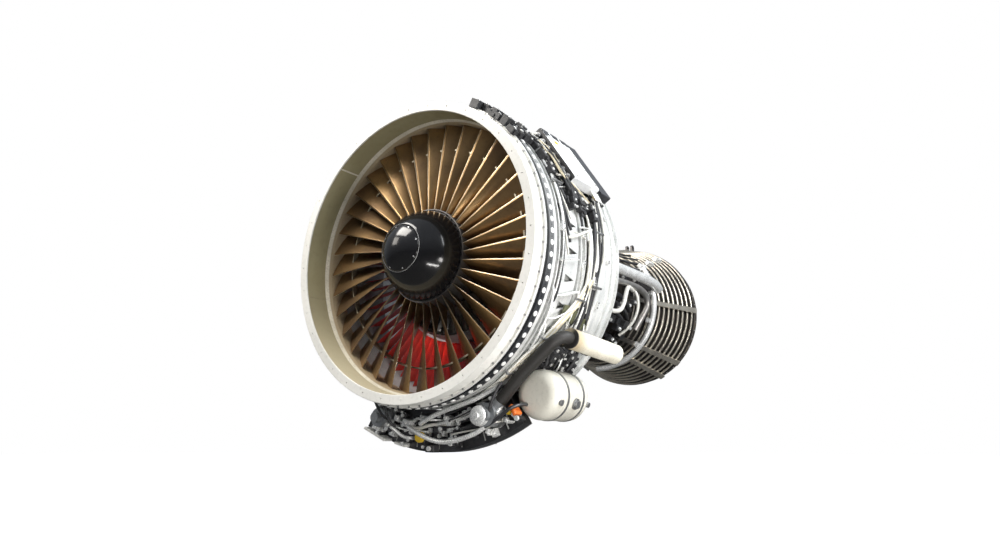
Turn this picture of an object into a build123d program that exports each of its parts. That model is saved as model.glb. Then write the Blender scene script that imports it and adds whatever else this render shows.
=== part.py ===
from build123d import *
import os
from math import asin, atan2, cos, degrees, pi, radians, sin

# A large turbofan engine on its own axis: +Y runs aft, the air enters at y = 0,
# +Z is up and +X is the side with the oil tank. All sizes are in millimetres.

# Clearances
SEAT = 0.8  # between curved walls of one assembly
RUN = 0.4  # between a turning part and what carries it
FIT = 0.3  # between a blade foot and its slot
TIP = 4  # between a rotor tip and its case

# Inlet ring and fan case
LIP_R = 1279
THROAT_R = 1197
LIP_T = 12
LIP_ROUND = 5
RING_WALL = 8
SPLIT_Y = 118
FLANGE_T = 14
FLANGE_R = 1300
COWL_BOLT_R = 1240
COWL_BOLTS = 36
COWL_HOLE_R = 5.5
CASE_IN = 1213
CASE_OUT = 1226
MID_SPLIT_Y = 400
BOLT_CIRCLE_R = 1290
CASE_BOLTS = 72
BOLT_R = 5.6
BOLT_HOLE_R = 6.4
BOLT_HEAD_R = 9.5
BOLT_HEAD_T = 7
HOLE_RING_R = 1298
HOLE_RING_Y = 208
HOLE_RING_W = 72
RING_HOLES = 88
RING_HOLE_R = 19
LINK_HOLE_R = 5
BAND_R = 1284
BAND_END_Y = 306
STIFFENER_Y = 330
STIFFENER_R = 1292
SKIN_T = 8
WEB_T = 6

# Inlet liner and tip seal
LINER_R = 1202
LINER_SEGMENTS = 6
LINER_SPLICE = 3
LINER_FIRST = 133
SEAL_FRONT_Y = 228
SEAL_RAMP_Y = 290
SEAL_R = 1180
SEAL_END_Y = 460

# Bypass case
FRAME_Y = 1000
PANEL_R = 1270
PANEL_FRONT_Y = 430
PANEL_END_Y = 668
NOTCHES = 36
NOTCH_FIRST = -4
NOTCH_BASE_Y = 500
NOTCH_TIP_Y = 650
NOTCH_HALF_W = 34
RIB_R = 1290
RIB_YS = (680, 750)
DUCT_R = 1190

# Fan
BLADES = 36
BLADE_FIRST = -6.5
BLADE_TIP_R = SEAL_R - TIP
DISK_FRONT_Y = 262
DISK_BACK_Y = 488
DISK_R = 392
HUB_FRONT_R = 408
HUB_BACK_R = 440
PLATFORM_T = 8
PLATFORM_GAP = 0.3
FOOT_R = 352
FOOT_TOP_R = 380
FOOT_HALF_W = 20
NECK_HALF_W = 11
FOOT_SHOULDER = 10
SHROUD_R = 960
SHROUD_T = 14
SHROUD_FRONT_Y = 342
SHROUD_W = 56
SHROUD_LEAN = 0.5
# radius, leading edge angle, leading edge station, chord, stagger, thickness, camber
BLADE_SECTIONS = (
    (HUB_FRONT_R - 4, 4.0, 263, 224, 13, 20, 13),
    (560, 5.6, 268, 240, 28, 16, 14),
    (720, 6.6, 274, 254, 40, 12, 12),
    (880, 7.2, 281, 268, 50, 9, 10),
    (BLADE_TIP_R + 2, 8.0, 295, 290, 61, 5, 4.5),
)

# Spinner
CAP_R = 204
CAP_Y = -53
CAP_TIP_Y = -128
SPINNER_T = 5
SPINNER_MID_R = 325
SPINNER_MID_Y = 75
SPINNER_BACK_R = 390

# Low pressure shaft
SHAFT_R = 75
SHAFT_BORE_R = 45
SHAFT_FLANGE_R = 215
SHAFT_FLANGE_Y = 440
SHAFT_END_Y = 4380
LAND_T = 8

# Booster and splitter
BOOSTER_R = 455
BOOSTER_END_Y = 992
SPLITTER_Y = 640
SPLITTER_R = 646
INNER_DUCT_R = 700
BOOSTER_CASE_R = 624
BOOSTER_STAGES = 4
BOOSTER_FIRST_Y = 668
BOOSTER_PITCH = 84
BOOSTER_COUNT = 26
BOOSTER_CHORD = 36

# Outlet guide vanes
VANES = 80
VANE_Y = 735
VANE_CHORD = 150
VANE_STAGGER = 12

# Fan frame
FRAME_END_Y = 1330
FRAME_SKIN_R = 1290
END_RING_R = 1306
END_RING_Y = 1200
FRAME_IN = 1200
FRAME_WALL = 12
STRUTS = 12
STRUT_Y = 1050
STRUT_CHORD = 190
STRUT_T = 34
STRUT_FOOT_R = 330
DRIVE_STRUT_T = 92
CORE_IN_R = 398
CORE_HUB_R = 268
COLLAR_Y = 1340

# Accessory drive
BEVEL_Y = 1145
CORE_GEAR_R = 160
CORE_GEAR_TEETH = 48
RADIAL_GEAR_R = 80
RADIAL_GEAR_TEETH = 24
TRANSFER_GEAR_R = 60
TRANSFER_TEETH = 24
DRIVE_R = 16
DRIVE_HOLE_R = 28
PAD_Z = 1312
GEAR_ARC_R = 1475
GEAR_R = 150
GEAR_TEETH = 40
GEAR_Y = 545
GEAR_W = 30
GEAR_SHAFT_R = 14
SHAFT_REACH = 34
TUBE_OUT_R = 40
LUG_ANGLE = 17.5
LUG_W = 84
TRANSFER_ROOM = 48

# Gearbox
BOX_IN_R = 1298
BOX_OUT_R = 1650
BOX_FRONT_Y = 500
BOX_BACK_Y = 620
BOX_WALL = 10
BOX_HALF_ANGLE = 30.5
COVER_T = 12

# High pressure core
CORE_STAGES = 14
CORE_PITCH = 62
CORE_FIRST_Y = 1360
CORE_BLADES = 12
CORE_FIRST = 5
CORE_CHORD = 26
CORE_TIP_R = 392
CORE_TIP_END_R = 345
CORE_HUB_END_R = 315
CORE_DRUM_T = 14
CORE_SHAFT_R = 100
CORE_BORE_R = 84
CORE_CASE_T = 14
CORE_CASE_END_Y = 2250
CORE_FLANGE_H = 26
COMBUSTOR_R = 425
COMBUSTOR_END_Y = 2790
LINER_IN_R = 225
LINER_OUT_R = 385
SWIRLER_R = 305
NOZZLE_FOOT_T = 8
TURBINE_Y = 3030
TURBINE_CASE_R = 440
NOZZLES = 30
NOZZLE_Y = 2400
NOZZLE_R = 8
MANIFOLD_R = 9
HPT_YS = (2850, 2950)
HPT_TIP_R = 396
HPT_HUB_R = 310

# Low pressure turbine
LPT_STAGES = 5
LPT_FIRST_Y = 3100
LPT_PITCH = 235
LPT_FRONT_R = 490
LPT_BACK_R = 800
LPT_END_Y = 4300
LPT_CASE_T = 10
LPT_HUB_R = 360
LPT_HUB_END_R = 520
LPT_BLADES = 48
LPT_CHORD = 62
TUBES = 14
TUBE_R = 13
TUBE_GAP = 12
FEEDERS = (0, -45, -62, 90, 135, 180, 225)
FEEDER_ARC = 4
REAR_END_Y = 4450
REAR_HUB_R = 200

# Vane actuation
UNISON_RINGS = 4
UNISON_R = 446
UNISON_T = 12
UNISON_W = 14
ACTUATOR_R = 500
ACTUATOR_Y = 1640
PIN_R = 6
ROD_R = 11
ROD_TRAVEL = 36
ROD_L = 150

# Accessories
DUCT_PIPE_R = 50
DUCT_BORE_R = 47
DUCT_LAGGING_R = 82
LAGGING_L = 640
INLET_REACH = 150
DUCT_BEND_R = 110
DUCT_START = (1310, 1180, -850)
DUCT_ELBOW = (1225, 425, -765)
INLET_Y = 400
INLET_BEND_REACH = 418
TANK_R = 200
TANK_X = 950
TANK_Z = -1200
TANK_FRONT_Y = 505
TANK_BACK_Y = 1050
TANK_ROUND = 90
SADDLE_T = 10
SADDLE_TOP_R = 1350
UNIT_ANGLE = 33
UNIT_IN_R = 1310
UNIT_OUT_R = 1400
UNIT_HALF_W = 300
UNIT_ROUND = 12
CASE_PIPE_R = 14
BLEED_R = 42
CLEVIS_BORE_R = 25
MOUNT_R = 540
EXHAUST_BOLT_R = 824
EXHAUST_BOLTS = 48
AFT_BORE_R = 20

os.makedirs("parts", exist_ok=True)


def station(y):
    """A plane across the engine's axis that faces forward, with its x to the right and its y up."""
    return Plane.XZ.offset(-y)


def turned(points, arc=360, mode=Mode.ADD):
    """Turn a closed outline of (radius, station) points about the engine's axis."""
    with BuildSketch(Plane.XY) as outline:
        with BuildLine():
            Polyline(*points, close=True)
        make_face()
    return revolve(outline.sketch, axis=Axis.Y, revolution_arc=arc, mode=mode)


def rings(*bands, arc=360, mode=Mode.ADD):
    """Turn a section of rectangles, each (inner radius, outer radius, front, back)."""
    with BuildSketch(Plane.XY) as section:
        for inner, outer, front, back in bands:
            with Locations(((inner + outer) / 2, (front + back) / 2)):
                Rectangle(outer - inner, back - front)
    return revolve(section.sketch, axis=Axis.Y, revolution_arc=arc, mode=mode)


def around(shape, count, first=0):
    """Copies of a shape turned evenly about the engine's axis, the first at an angle from +X."""
    return [shape.rotate(Axis.Y, -first - index * 360 / count) for index in range(count)]


def at_angles(shape, angles):
    """Copies of a shape turned about the engine's axis to each of some angles from +X."""
    return [shape.rotate(Axis.Y, -angle) for angle in angles]


def airfoil(radius, edge_offset, edge_y, chord, stagger, thickness, camber):
    """The section of a blade at one radius, from its leading edge aft."""
    across_plane = Plane(origin=(radius, 0, 0), x_dir=(0, 0, 1), z_dir=(1, 0, 0))
    along = Vector(-sin(radians(stagger)), -cos(radians(stagger)))
    across = Vector(along.Y, -along.X)
    lead = Vector(edge_offset, -edge_y)
    trail = lead + along * chord
    middle = (lead + trail) * 0.5
    with BuildSketch(across_plane) as section:
        with BuildLine():
            ThreePointArc(lead, middle + across * (camber + thickness / 2), trail)
            ThreePointArc(trail, middle + across * (camber - thickness / 2), lead)
        make_face()
    return section.sketch


def vane_form(inner, outer, front_y, chord, stagger, thickness):
    """One straight vane that stands between two radii, centred on the +X direction."""
    offset = chord * sin(radians(stagger)) / 2
    with BuildPart() as form:
        extrude(airfoil(inner, offset, front_y, chord, stagger, thickness, thickness), outer - inner)
    return form.part


def bolt_form(grip, shank, head):
    """A flange bolt with its nut, head forward, its grip starting at the origin."""
    with BuildPart() as form:
        with BuildSketch(Plane.XY):
            RegularPolygon(head, 6)
        extrude(amount=BOLT_HEAD_T)
        with BuildSketch(Plane.XY):
            Circle(shank)
        extrude(amount=-grip - 2 * BOLT_HEAD_T)
        with BuildSketch(Plane.XY.offset(-grip)):
            Circle(head - 1)
        extrude(amount=-BOLT_HEAD_T)
    return form.part


def spur_outline(pitch_r, teeth, phase):
    """The outline of a spur gear about its centre, with a tooth at the phase angle."""
    module = 2 * pitch_r / teeth
    step = 360 / teeth
    corners = []
    for tooth in range(teeth):
        middle = phase + tooth * step
        for radius, share in ((-1.15, -0.31), (0.8, -0.12), (0.8, 0.12), (-1.15, 0.31)):
            angle = radians(middle + share * step)
            corners.append(((pitch_r + radius * module) * cos(angle), (pitch_r + radius * module) * sin(angle)))
    return corners


def bevel_form(pitch_r, teeth, half_angle, bore, first):
    """A straight bevel gear about +Z with its cone's point at the origin."""
    cone = radians(half_angle)
    pitch = 2 * pi * pitch_r / teeth
    outer = pitch_r / sin(cone)
    inner = 0.75 * outer
    root = 0.34 * pitch
    corners = []
    for reach, depth in ((inner, root * inner / outer), (outer, root)):
        corners.append((reach * sin(cone) - depth * cos(cone), reach * cos(cone) + depth * sin(cone)))
    inner_z = corners[0][1]
    outer_z = corners[1][1]
    with BuildPart() as body:
        with BuildSketch(Plane.XZ):
            with BuildLine():
                Polyline((bore, inner_z), *corners, (bore, outer_z), close=True)
            make_face()
        revolve(axis=Axis.Z)
    sections = []
    for reach in (1.03 * inner, 0.99 * outer):
        share = reach / outer * pitch
        plane = Plane(
            origin=(reach * sin(cone), 0, reach * cos(cone)),
            x_dir=(0, 1, 0),
            z_dir=(-sin(cone), 0, -cos(cone)),
        )
        with BuildSketch(plane) as section:
            with BuildLine():
                Polyline(
                    (-0.31 * share, -0.4 * share),
                    (0.31 * share, -0.4 * share),
                    (0.13 * share, 0.24 * share),
                    (-0.13 * share, 0.24 * share),
                    close=True,
                )
            make_face()
        sections.append(section.sketch)
    with BuildPart() as tooth:
        loft(sections, ruled=True)
    with BuildPart() as gear:
        add(body.part)
        add([tooth.part.rotate(Axis.Z, first + index * 360 / teeth) for index in range(teeth)])
    return gear.part


def save(part, name):
    """Label a finished piece and write its file."""
    part.label = name
    export_step(part, f"parts/{name}.step")


# Inlet ring, which carries the nacelle's inlet on its front face
with BuildPart() as inlet_ring:
    rings(
        (THROAT_R, LIP_R, 0, LIP_T),
        (LIP_R - RING_WALL, LIP_R, 0, SPLIT_Y),
        (LIP_R - 40, FLANGE_R, SPLIT_Y - FLANGE_T, SPLIT_Y),
    )
    fillet(inlet_ring.edges().group_by(Axis.Y)[0], LIP_ROUND)
    with Locations(station(0)), PolarLocations(COWL_BOLT_R, COWL_BOLTS):
        Hole(COWL_HOLE_R, depth=LIP_T)
    with Locations(station(SPLIT_Y - FLANGE_T)), PolarLocations(BOLT_CIRCLE_R, CASE_BOLTS):
        Hole(BOLT_HOLE_R, depth=FLANGE_T)
save(inlet_ring.part, "inlet_ring")

# Acoustic liner of the inlet, in segments with a thin splice between them
with BuildPart() as liner_segment:
    rings(
        (LINER_R, CASE_IN - SEAT, LIP_T, SEAL_FRONT_Y),
        arc=360 / LINER_SEGMENTS - degrees(LINER_SPLICE / LINER_R),
    )
with BuildPart() as inlet_liner:
    add(around(liner_segment.part, LINER_SEGMENTS, LINER_FIRST))
save(inlet_liner.part, "inlet_liner")

# Abradable seal ring around the blade tips, with a ramp at its front
with BuildPart() as tip_seal:
    turned(
        [
            (LINER_R, SEAL_FRONT_Y),
            (SEAL_R, SEAL_RAMP_Y),
            (SEAL_R, SEAL_END_Y),
            (CASE_IN - SEAT, SEAL_END_Y),
            (CASE_IN - SEAT, SEAL_FRONT_Y),
        ]
    )
save(tip_seal.part, "tip_seal")

# Fan case, with its ring of round holes, its band and its flanges
with BuildPart() as fan_case:
    rings(
        (CASE_IN, CASE_OUT, LIP_T, MID_SPLIT_Y),
        (CASE_IN, FLANGE_R, SPLIT_Y, SPLIT_Y + FLANGE_T),
        (CASE_IN, HOLE_RING_R, HOLE_RING_Y - HOLE_RING_W / 2, HOLE_RING_Y - HOLE_RING_W / 2 + WEB_T),
        (HOLE_RING_R - SKIN_T, HOLE_RING_R, HOLE_RING_Y - HOLE_RING_W / 2, HOLE_RING_Y + HOLE_RING_W / 2),
        (CASE_IN, HOLE_RING_R, HOLE_RING_Y + HOLE_RING_W / 2 - WEB_T, HOLE_RING_Y + HOLE_RING_W / 2),
        (BAND_R - SKIN_T, BAND_R, HOLE_RING_Y + HOLE_RING_W / 2, BAND_END_Y),
        (CASE_IN, BAND_R, BAND_END_Y - WEB_T, BAND_END_Y),
        (CASE_IN, STIFFENER_R, STIFFENER_Y, STIFFENER_Y + FLANGE_T),
        (CASE_IN, FLANGE_R, MID_SPLIT_Y - FLANGE_T, MID_SPLIT_Y),
    )
    with Locations(station(HOLE_RING_Y)), PolarLocations(HOLE_RING_R, RING_HOLES):
        Cylinder(RING_HOLE_R, 4 * SKIN_T, rotation=(0, 90, 0), mode=Mode.SUBTRACT)
    with Locations(station(HOLE_RING_Y)), PolarLocations(HOLE_RING_R, RING_HOLES, 180 / RING_HOLES):
        Cylinder(LINK_HOLE_R, 4 * SKIN_T, rotation=(0, 90, 0), mode=Mode.SUBTRACT)
    for flange_y in (SPLIT_Y, MID_SPLIT_Y - FLANGE_T):
        with Locations(station(flange_y)), PolarLocations(BOLT_CIRCLE_R, CASE_BOLTS):
            Hole(BOLT_HOLE_R, depth=FLANGE_T)
save(fan_case.part, "fan_case")

# Bypass case behind it, with pointed notches in its outer panels
with BuildPart() as notch_form:
    with BuildSketch(Plane.YZ.offset(PANEL_R - 3 * SKIN_T)):
        with BuildLine():
            Polyline(
                (NOTCH_BASE_Y, -NOTCH_HALF_W),
                (NOTCH_TIP_Y, 0),
                (NOTCH_BASE_Y, NOTCH_HALF_W),
                close=True,
            )
        make_face()
    extrude(amount=6 * SKIN_T)
with BuildPart() as bypass_case:
    rings(
        (CASE_IN, CASE_OUT, MID_SPLIT_Y, FRAME_Y),
        (CASE_IN, FLANGE_R, MID_SPLIT_Y, MID_SPLIT_Y + FLANGE_T),
        (CASE_IN, PANEL_R, PANEL_FRONT_Y, PANEL_FRONT_Y + WEB_T),
        (PANEL_R - SKIN_T, PANEL_R, PANEL_FRONT_Y, PANEL_END_Y),
        (CASE_IN, PANEL_R, PANEL_END_Y - WEB_T, PANEL_END_Y),
        (CASE_IN, FLANGE_R, FRAME_Y - FLANGE_T, FRAME_Y),
        *[(CASE_IN, RIB_R, rib_y, rib_y + FLANGE_T) for rib_y in RIB_YS],
    )
    add(around(notch_form.part, NOTCHES, NOTCH_FIRST), mode=Mode.SUBTRACT)
    with Locations(station(MID_SPLIT_Y)), PolarLocations(BOLT_CIRCLE_R, CASE_BOLTS):
        Hole(BOLT_HOLE_R, depth=FLANGE_T)
save(bypass_case.part, "bypass_case")

# Bolts of the two flange joints of the fan case
case_bolt = bolt_form(2 * FLANGE_T, BOLT_R, BOLT_HEAD_R)
with BuildPart() as case_bolts:
    for joint_y in (SPLIT_Y - FLANGE_T, MID_SPLIT_Y - FLANGE_T):
        with Locations(station(joint_y)), PolarLocations(BOLT_CIRCLE_R, CASE_BOLTS):
            add(case_bolt)
save(case_bolts.part, "case_bolts")

# Liner of the bypass duct
with BuildPart() as duct_liner:
    rings((DUCT_R, CASE_IN - SEAT, SEAL_END_Y, FRAME_Y))
save(duct_liner.part, "duct_liner")

# Outlet guide vanes between the duct's two walls
with BuildPart() as outlet_guide_vanes:
    vane = vane_form(INNER_DUCT_R + SEAT, DUCT_R - SEAT, VANE_Y, VANE_CHORD, VANE_STAGGER, 9)
    add(around(vane, VANES))
save(outlet_guide_vanes.part, "outlet_guide_vanes")

# Splitter, which parts the bypass air from the core air
with BuildPart() as splitter_case:
    turned(
        [
            (SPLITTER_R, SPLITTER_Y),
            (INNER_DUCT_R, VANE_Y - 30),
            (INNER_DUCT_R, FRAME_Y),
            (INNER_DUCT_R - SKIN_T, FRAME_Y),
            (INNER_DUCT_R - SKIN_T, VANE_Y - 26),
            (SPLITTER_R, SPLITTER_Y + 24),
            (BOOSTER_CASE_R + SKIN_T, SPLITTER_Y + 50),
            (BOOSTER_CASE_R + SKIN_T, FRAME_Y),
            (BOOSTER_CASE_R, FRAME_Y),
            (BOOSTER_CASE_R, SPLITTER_Y + 22),
        ]
    )
save(splitter_case.part, "splitter_case")

# Booster stator vanes, one row behind each rotor row but the last
with BuildPart() as booster_vanes:
    for stage in range(BOOSTER_STAGES - 1):
        row_y = BOOSTER_FIRST_Y + (stage + 0.5) * BOOSTER_PITCH
        vane = vane_form(BOOSTER_R + TIP, BOOSTER_CASE_R - SEAT, row_y, BOOSTER_CHORD, -25, 4)
        add(around(vane, BOOSTER_COUNT))
save(booster_vanes.part, "booster_vanes")

# Fan frame: the struts, the hub that holds the bearings and the rear rings
with BuildPart() as strut_form:
    with BuildSketch(Plane.YZ.offset(STRUT_FOOT_R)):
        with Locations((STRUT_Y + STRUT_CHORD / 2, 0)):
            SlotOverall(STRUT_CHORD, STRUT_T)
    extrude(amount=FRAME_IN + FRAME_WALL / 2 - STRUT_FOOT_R)
with BuildPart() as drive_strut_form:
    with BuildSketch(Plane.YZ.offset(STRUT_FOOT_R)):
        with Locations((STRUT_Y + STRUT_CHORD / 2, 0)):
            SlotOverall(STRUT_CHORD, DRIVE_STRUT_T)
    extrude(amount=FRAME_IN + FRAME_WALL / 2 - STRUT_FOOT_R)
with BuildPart() as frame_hub:
    rings(
        (INNER_DUCT_R - SKIN_T, INNER_DUCT_R, FRAME_Y, FRAME_END_Y),
        (CORE_IN_R, INNER_DUCT_R, FRAME_END_Y - FLANGE_T, FRAME_END_Y),
        (SHAFT_R + 40, BOOSTER_R - 4, FRAME_Y, FRAME_Y + FLANGE_T),
        (CORE_SHAFT_R + 42, CORE_HUB_R, COLLAR_Y - 24, COLLAR_Y),
    )
    turned(
        [
            (BOOSTER_CASE_R, FRAME_Y),
            (BOOSTER_CASE_R + 14, FRAME_Y),
            (CORE_IN_R + 14, COLLAR_Y),
            (CORE_IN_R, COLLAR_Y),
        ]
    )
    turned(
        [
            (BOOSTER_R - 16, FRAME_Y),
            (BOOSTER_R - 2, FRAME_Y),
            (CORE_HUB_R, COLLAR_Y),
            (CORE_HUB_R - 14, COLLAR_Y),
        ]
    )
    add(at_angles(strut_form.part, [-90 + index * 360 / STRUTS for index in range(1, STRUTS)]))
    add(at_angles(drive_strut_form.part, [-90]))
    rings(
        (FRAME_IN - SEAT, FRAME_IN + FRAME_WALL, FRAME_Y, FRAME_END_Y),
        mode=Mode.SUBTRACT,
    )
    with Locations((0, BEVEL_Y, -(PAD_Z + RADIAL_GEAR_R) / 2)):
        Cylinder(DRIVE_R + RUN, PAD_Z, mode=Mode.SUBTRACT)
    with Locations((0, BEVEL_Y, -(FRAME_SKIN_R - 30) / 2)):
        Cylinder(DRIVE_HOLE_R, FRAME_SKIN_R - 30, mode=Mode.SUBTRACT)

# The frame's outer case fits over the struts as a second solid of the node
with BuildPart() as fan_frame:
    rings(
        (FRAME_IN, FRAME_IN + FRAME_WALL, FRAME_Y, FRAME_END_Y),
        (FRAME_IN, FLANGE_R, FRAME_Y, FRAME_Y + FLANGE_T),
        (FRAME_SKIN_R - SKIN_T, FRAME_SKIN_R, FRAME_Y, END_RING_Y),
        (FRAME_IN, END_RING_R, END_RING_Y, END_RING_Y + FLANGE_T),
        (FRAME_SKIN_R - 2 * SKIN_T, FRAME_SKIN_R - SKIN_T, END_RING_Y, FRAME_END_Y),
        (FRAME_IN, END_RING_R, FRAME_END_Y - FLANGE_T, FRAME_END_Y),
    )
    with Locations((0, (FRAME_Y + FLANGE_T + END_RING_Y) / 2, -(FRAME_SKIN_R - 30 + PAD_Z) / 2)):
        Box(200, END_RING_Y - FRAME_Y - FLANGE_T, PAD_Z - FRAME_SKIN_R + 30)
    with Locations((0, BEVEL_Y, -(PAD_Z + RADIAL_GEAR_R) / 2)):
        Cylinder(DRIVE_R + RUN, PAD_Z, mode=Mode.SUBTRACT)
    add(frame_hub.part)
save(fan_frame.part, "fan_frame")

# Fan blade: twisted airfoil, part-span shroud, platform, neck and foot
with BuildPart() as platform_form:
    turned(
        [
            (HUB_FRONT_R, DISK_FRONT_Y),
            (HUB_BACK_R, DISK_BACK_Y),
            (HUB_BACK_R - PLATFORM_T, DISK_BACK_Y),
            (HUB_FRONT_R - PLATFORM_T, DISK_FRONT_Y),
        ],
        arc=360 / BLADES - degrees(PLATFORM_GAP / HUB_FRONT_R),
    )
with BuildPart() as shroud_form:
    rings(
        (SHROUD_R - SHROUD_T / 2, SHROUD_R + SHROUD_T / 2, SHROUD_FRONT_Y, SHROUD_FRONT_Y + SHROUD_W),
        arc=360 / BLADES - degrees(FIT / SHROUD_R),
    )
with BuildPart() as fan_blade_form:
    sections = [
        airfoil(radius, radius * sin(radians(lead_angle)), *shape)
        for radius, lead_angle, *shape in BLADE_SECTIONS
    ]
    loft(sections, ruled=True)
    rings((HUB_FRONT_R - 20, BLADE_TIP_R, DISK_FRONT_Y - 40, DISK_BACK_Y + 40), mode=Mode.INTERSECT)
    with BuildSketch(Plane.XY):
        with BuildLine():
            Polyline(
                (FOOT_TOP_R - 2, DISK_FRONT_Y),
                (HUB_FRONT_R - 4, DISK_FRONT_Y),
                (HUB_BACK_R - 4, DISK_BACK_Y),
                (FOOT_TOP_R - 2, DISK_BACK_Y),
                close=True,
            )
        make_face()
    extrude(amount=NECK_HALF_W, both=True)
    with BuildSketch(station(DISK_FRONT_Y)):
        with BuildLine():
            Polyline(
                (FOOT_R, -FOOT_HALF_W),
                (FOOT_R + FOOT_SHOULDER, -FOOT_HALF_W),
                (FOOT_TOP_R, -NECK_HALF_W),
                (FOOT_TOP_R, NECK_HALF_W),
                (FOOT_R + FOOT_SHOULDER, FOOT_HALF_W),
                (FOOT_R, FOOT_HALF_W),
                close=True,
            )
        make_face()
    extrude(amount=DISK_FRONT_Y - DISK_BACK_Y)
    add(platform_form.part.rotate(Axis.Y, -180 / BLADES))
    add(shroud_form.part.rotate(Axis.Y, -180 / BLADES - SHROUD_LEAN))
with BuildPart() as fan_blades:
    add(around(fan_blade_form.part, BLADES, BLADE_FIRST))
save(fan_blades.part, "fan_blades")

# Fan disk, with one slot for each blade foot
with BuildPart() as slot_form:
    with BuildSketch(station(DISK_FRONT_Y - 1)):
        with BuildLine():
            Polyline(
                (FOOT_R - FIT, -FOOT_HALF_W - FIT),
                (FOOT_R + FOOT_SHOULDER, -FOOT_HALF_W - FIT),
                (FOOT_TOP_R, -NECK_HALF_W - FIT),
                (DISK_R + 1, -NECK_HALF_W - FIT),
                (DISK_R + 1, NECK_HALF_W + FIT),
                (FOOT_TOP_R, NECK_HALF_W + FIT),
                (FOOT_R + FOOT_SHOULDER, FOOT_HALF_W + FIT),
                (FOOT_R - FIT, FOOT_HALF_W + FIT),
                close=True,
            )
        make_face()
    extrude(amount=DISK_FRONT_Y - DISK_BACK_Y - 2)
with BuildPart() as fan_disk:
    turned(
        [
            (SHAFT_FLANGE_R - 75, SHAFT_FLANGE_Y - 100),
            (SHAFT_FLANGE_R, SHAFT_FLANGE_Y - 100),
            (300, 360),
            (330, DISK_FRONT_Y),
            (DISK_R, DISK_FRONT_Y),
            (DISK_R, DISK_BACK_Y),
            (330, DISK_BACK_Y),
            (300, 400),
            (SHAFT_FLANGE_R, SHAFT_FLANGE_Y),
            (SHAFT_FLANGE_R - 75, SHAFT_FLANGE_Y),
        ]
    )
    add(around(slot_form.part, BLADES, BLADE_FIRST), mode=Mode.SUBTRACT)
save(fan_disk.part, "fan_disk")

# Spinner: a rear cone against the disk and a screwed-on front cap
with BuildPart() as spinner_cone:
    with BuildSketch(Plane.XY):
        with BuildLine():
            ThreePointArc(
                (CAP_R, CAP_Y), (SPINNER_MID_R, SPINNER_MID_Y), (SPINNER_BACK_R, DISK_FRONT_Y - 8)
            )
            Line((SPINNER_BACK_R, DISK_FRONT_Y - 8), (SPINNER_BACK_R, DISK_FRONT_Y))
            Line((SPINNER_BACK_R, DISK_FRONT_Y), (SPINNER_BACK_R - 45, DISK_FRONT_Y))
            Line((SPINNER_BACK_R - 45, DISK_FRONT_Y), (SPINNER_BACK_R - 45, DISK_FRONT_Y - 8))
            Line(
                (SPINNER_BACK_R - 45, DISK_FRONT_Y - 8),
                (SPINNER_BACK_R - SPINNER_T, DISK_FRONT_Y - 8),
            )
            ThreePointArc(
                (SPINNER_BACK_R - SPINNER_T, DISK_FRONT_Y - 8),
                (SPINNER_MID_R - SPINNER_T, SPINNER_MID_Y + SPINNER_T / 2),
                (CAP_R - 2 * SPINNER_T, CAP_Y),
            )
            Line((CAP_R - 2 * SPINNER_T, CAP_Y), (CAP_R, CAP_Y))
        make_face()
    revolve(axis=Axis.Y)
save(spinner_cone.part, "spinner_cone")

CAP_SPHERE_R = (CAP_R**2 + (CAP_Y - CAP_TIP_Y) ** 2) / (2 * (CAP_Y - CAP_TIP_Y))
with BuildPart() as spinner_cap:
    with BuildSketch(Plane.XY):
        with Locations((0, CAP_TIP_Y + CAP_SPHERE_R)):
            Circle(CAP_SPHERE_R)
            Circle(CAP_SPHERE_R - SPINNER_T, mode=Mode.SUBTRACT)
        with Locations((0, CAP_Y)):
            Rectangle(
                2 * CAP_R, 2 * CAP_R, align=(Align.MIN, Align.MAX), mode=Mode.INTERSECT
            )
    revolve(axis=Axis.Y)
save(spinner_cap.part, "spinner_cap")

# Low pressure shaft, with its journals and the flanges for the fan and the turbine
LPT_FLANGE_Y = LPT_FIRST_Y + 2 * LPT_PITCH + 40
with BuildPart() as lp_shaft:
    rings(
        (SHAFT_BORE_R, SHAFT_R, SHAFT_FLANGE_Y, SHAFT_END_Y),
        (SHAFT_BORE_R, SHAFT_FLANGE_R, SHAFT_FLANGE_Y, SHAFT_FLANGE_Y + 20),
        (SHAFT_BORE_R, SHAFT_R + LAND_T, FRAME_Y - 10, FRAME_Y + 40),
        (SHAFT_BORE_R, SHAFT_R + LAND_T, SHAFT_END_Y - 60, SHAFT_END_Y),
        (SHAFT_BORE_R, SHAFT_FLANGE_R, LPT_FLANGE_Y - 20, LPT_FLANGE_Y),
    )
save(lp_shaft.part, "lp_shaft")

# Booster rotor: a drum on the disk's rear face with its blade rows
with BuildPart() as booster_rotor:
    rings(
        (300, DISK_R - 12, DISK_BACK_Y, DISK_BACK_Y + 12),
        (DISK_R - 24, DISK_R - 12, DISK_BACK_Y, SPLITTER_Y),
        (DISK_R - 24, BOOSTER_R, SPLITTER_Y - 12, SPLITTER_Y),
        (BOOSTER_R - 12, BOOSTER_R, SPLITTER_Y - 130, BOOSTER_END_Y),
    )
    for stage in range(BOOSTER_STAGES):
        row_y = BOOSTER_FIRST_Y + stage * BOOSTER_PITCH
        blade = vane_form(BOOSTER_R - 4, BOOSTER_CASE_R - TIP, row_y, BOOSTER_CHORD, 35, 4)
        add(around(blade, BOOSTER_COUNT))
save(booster_rotor.part, "booster_rotor")

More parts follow.
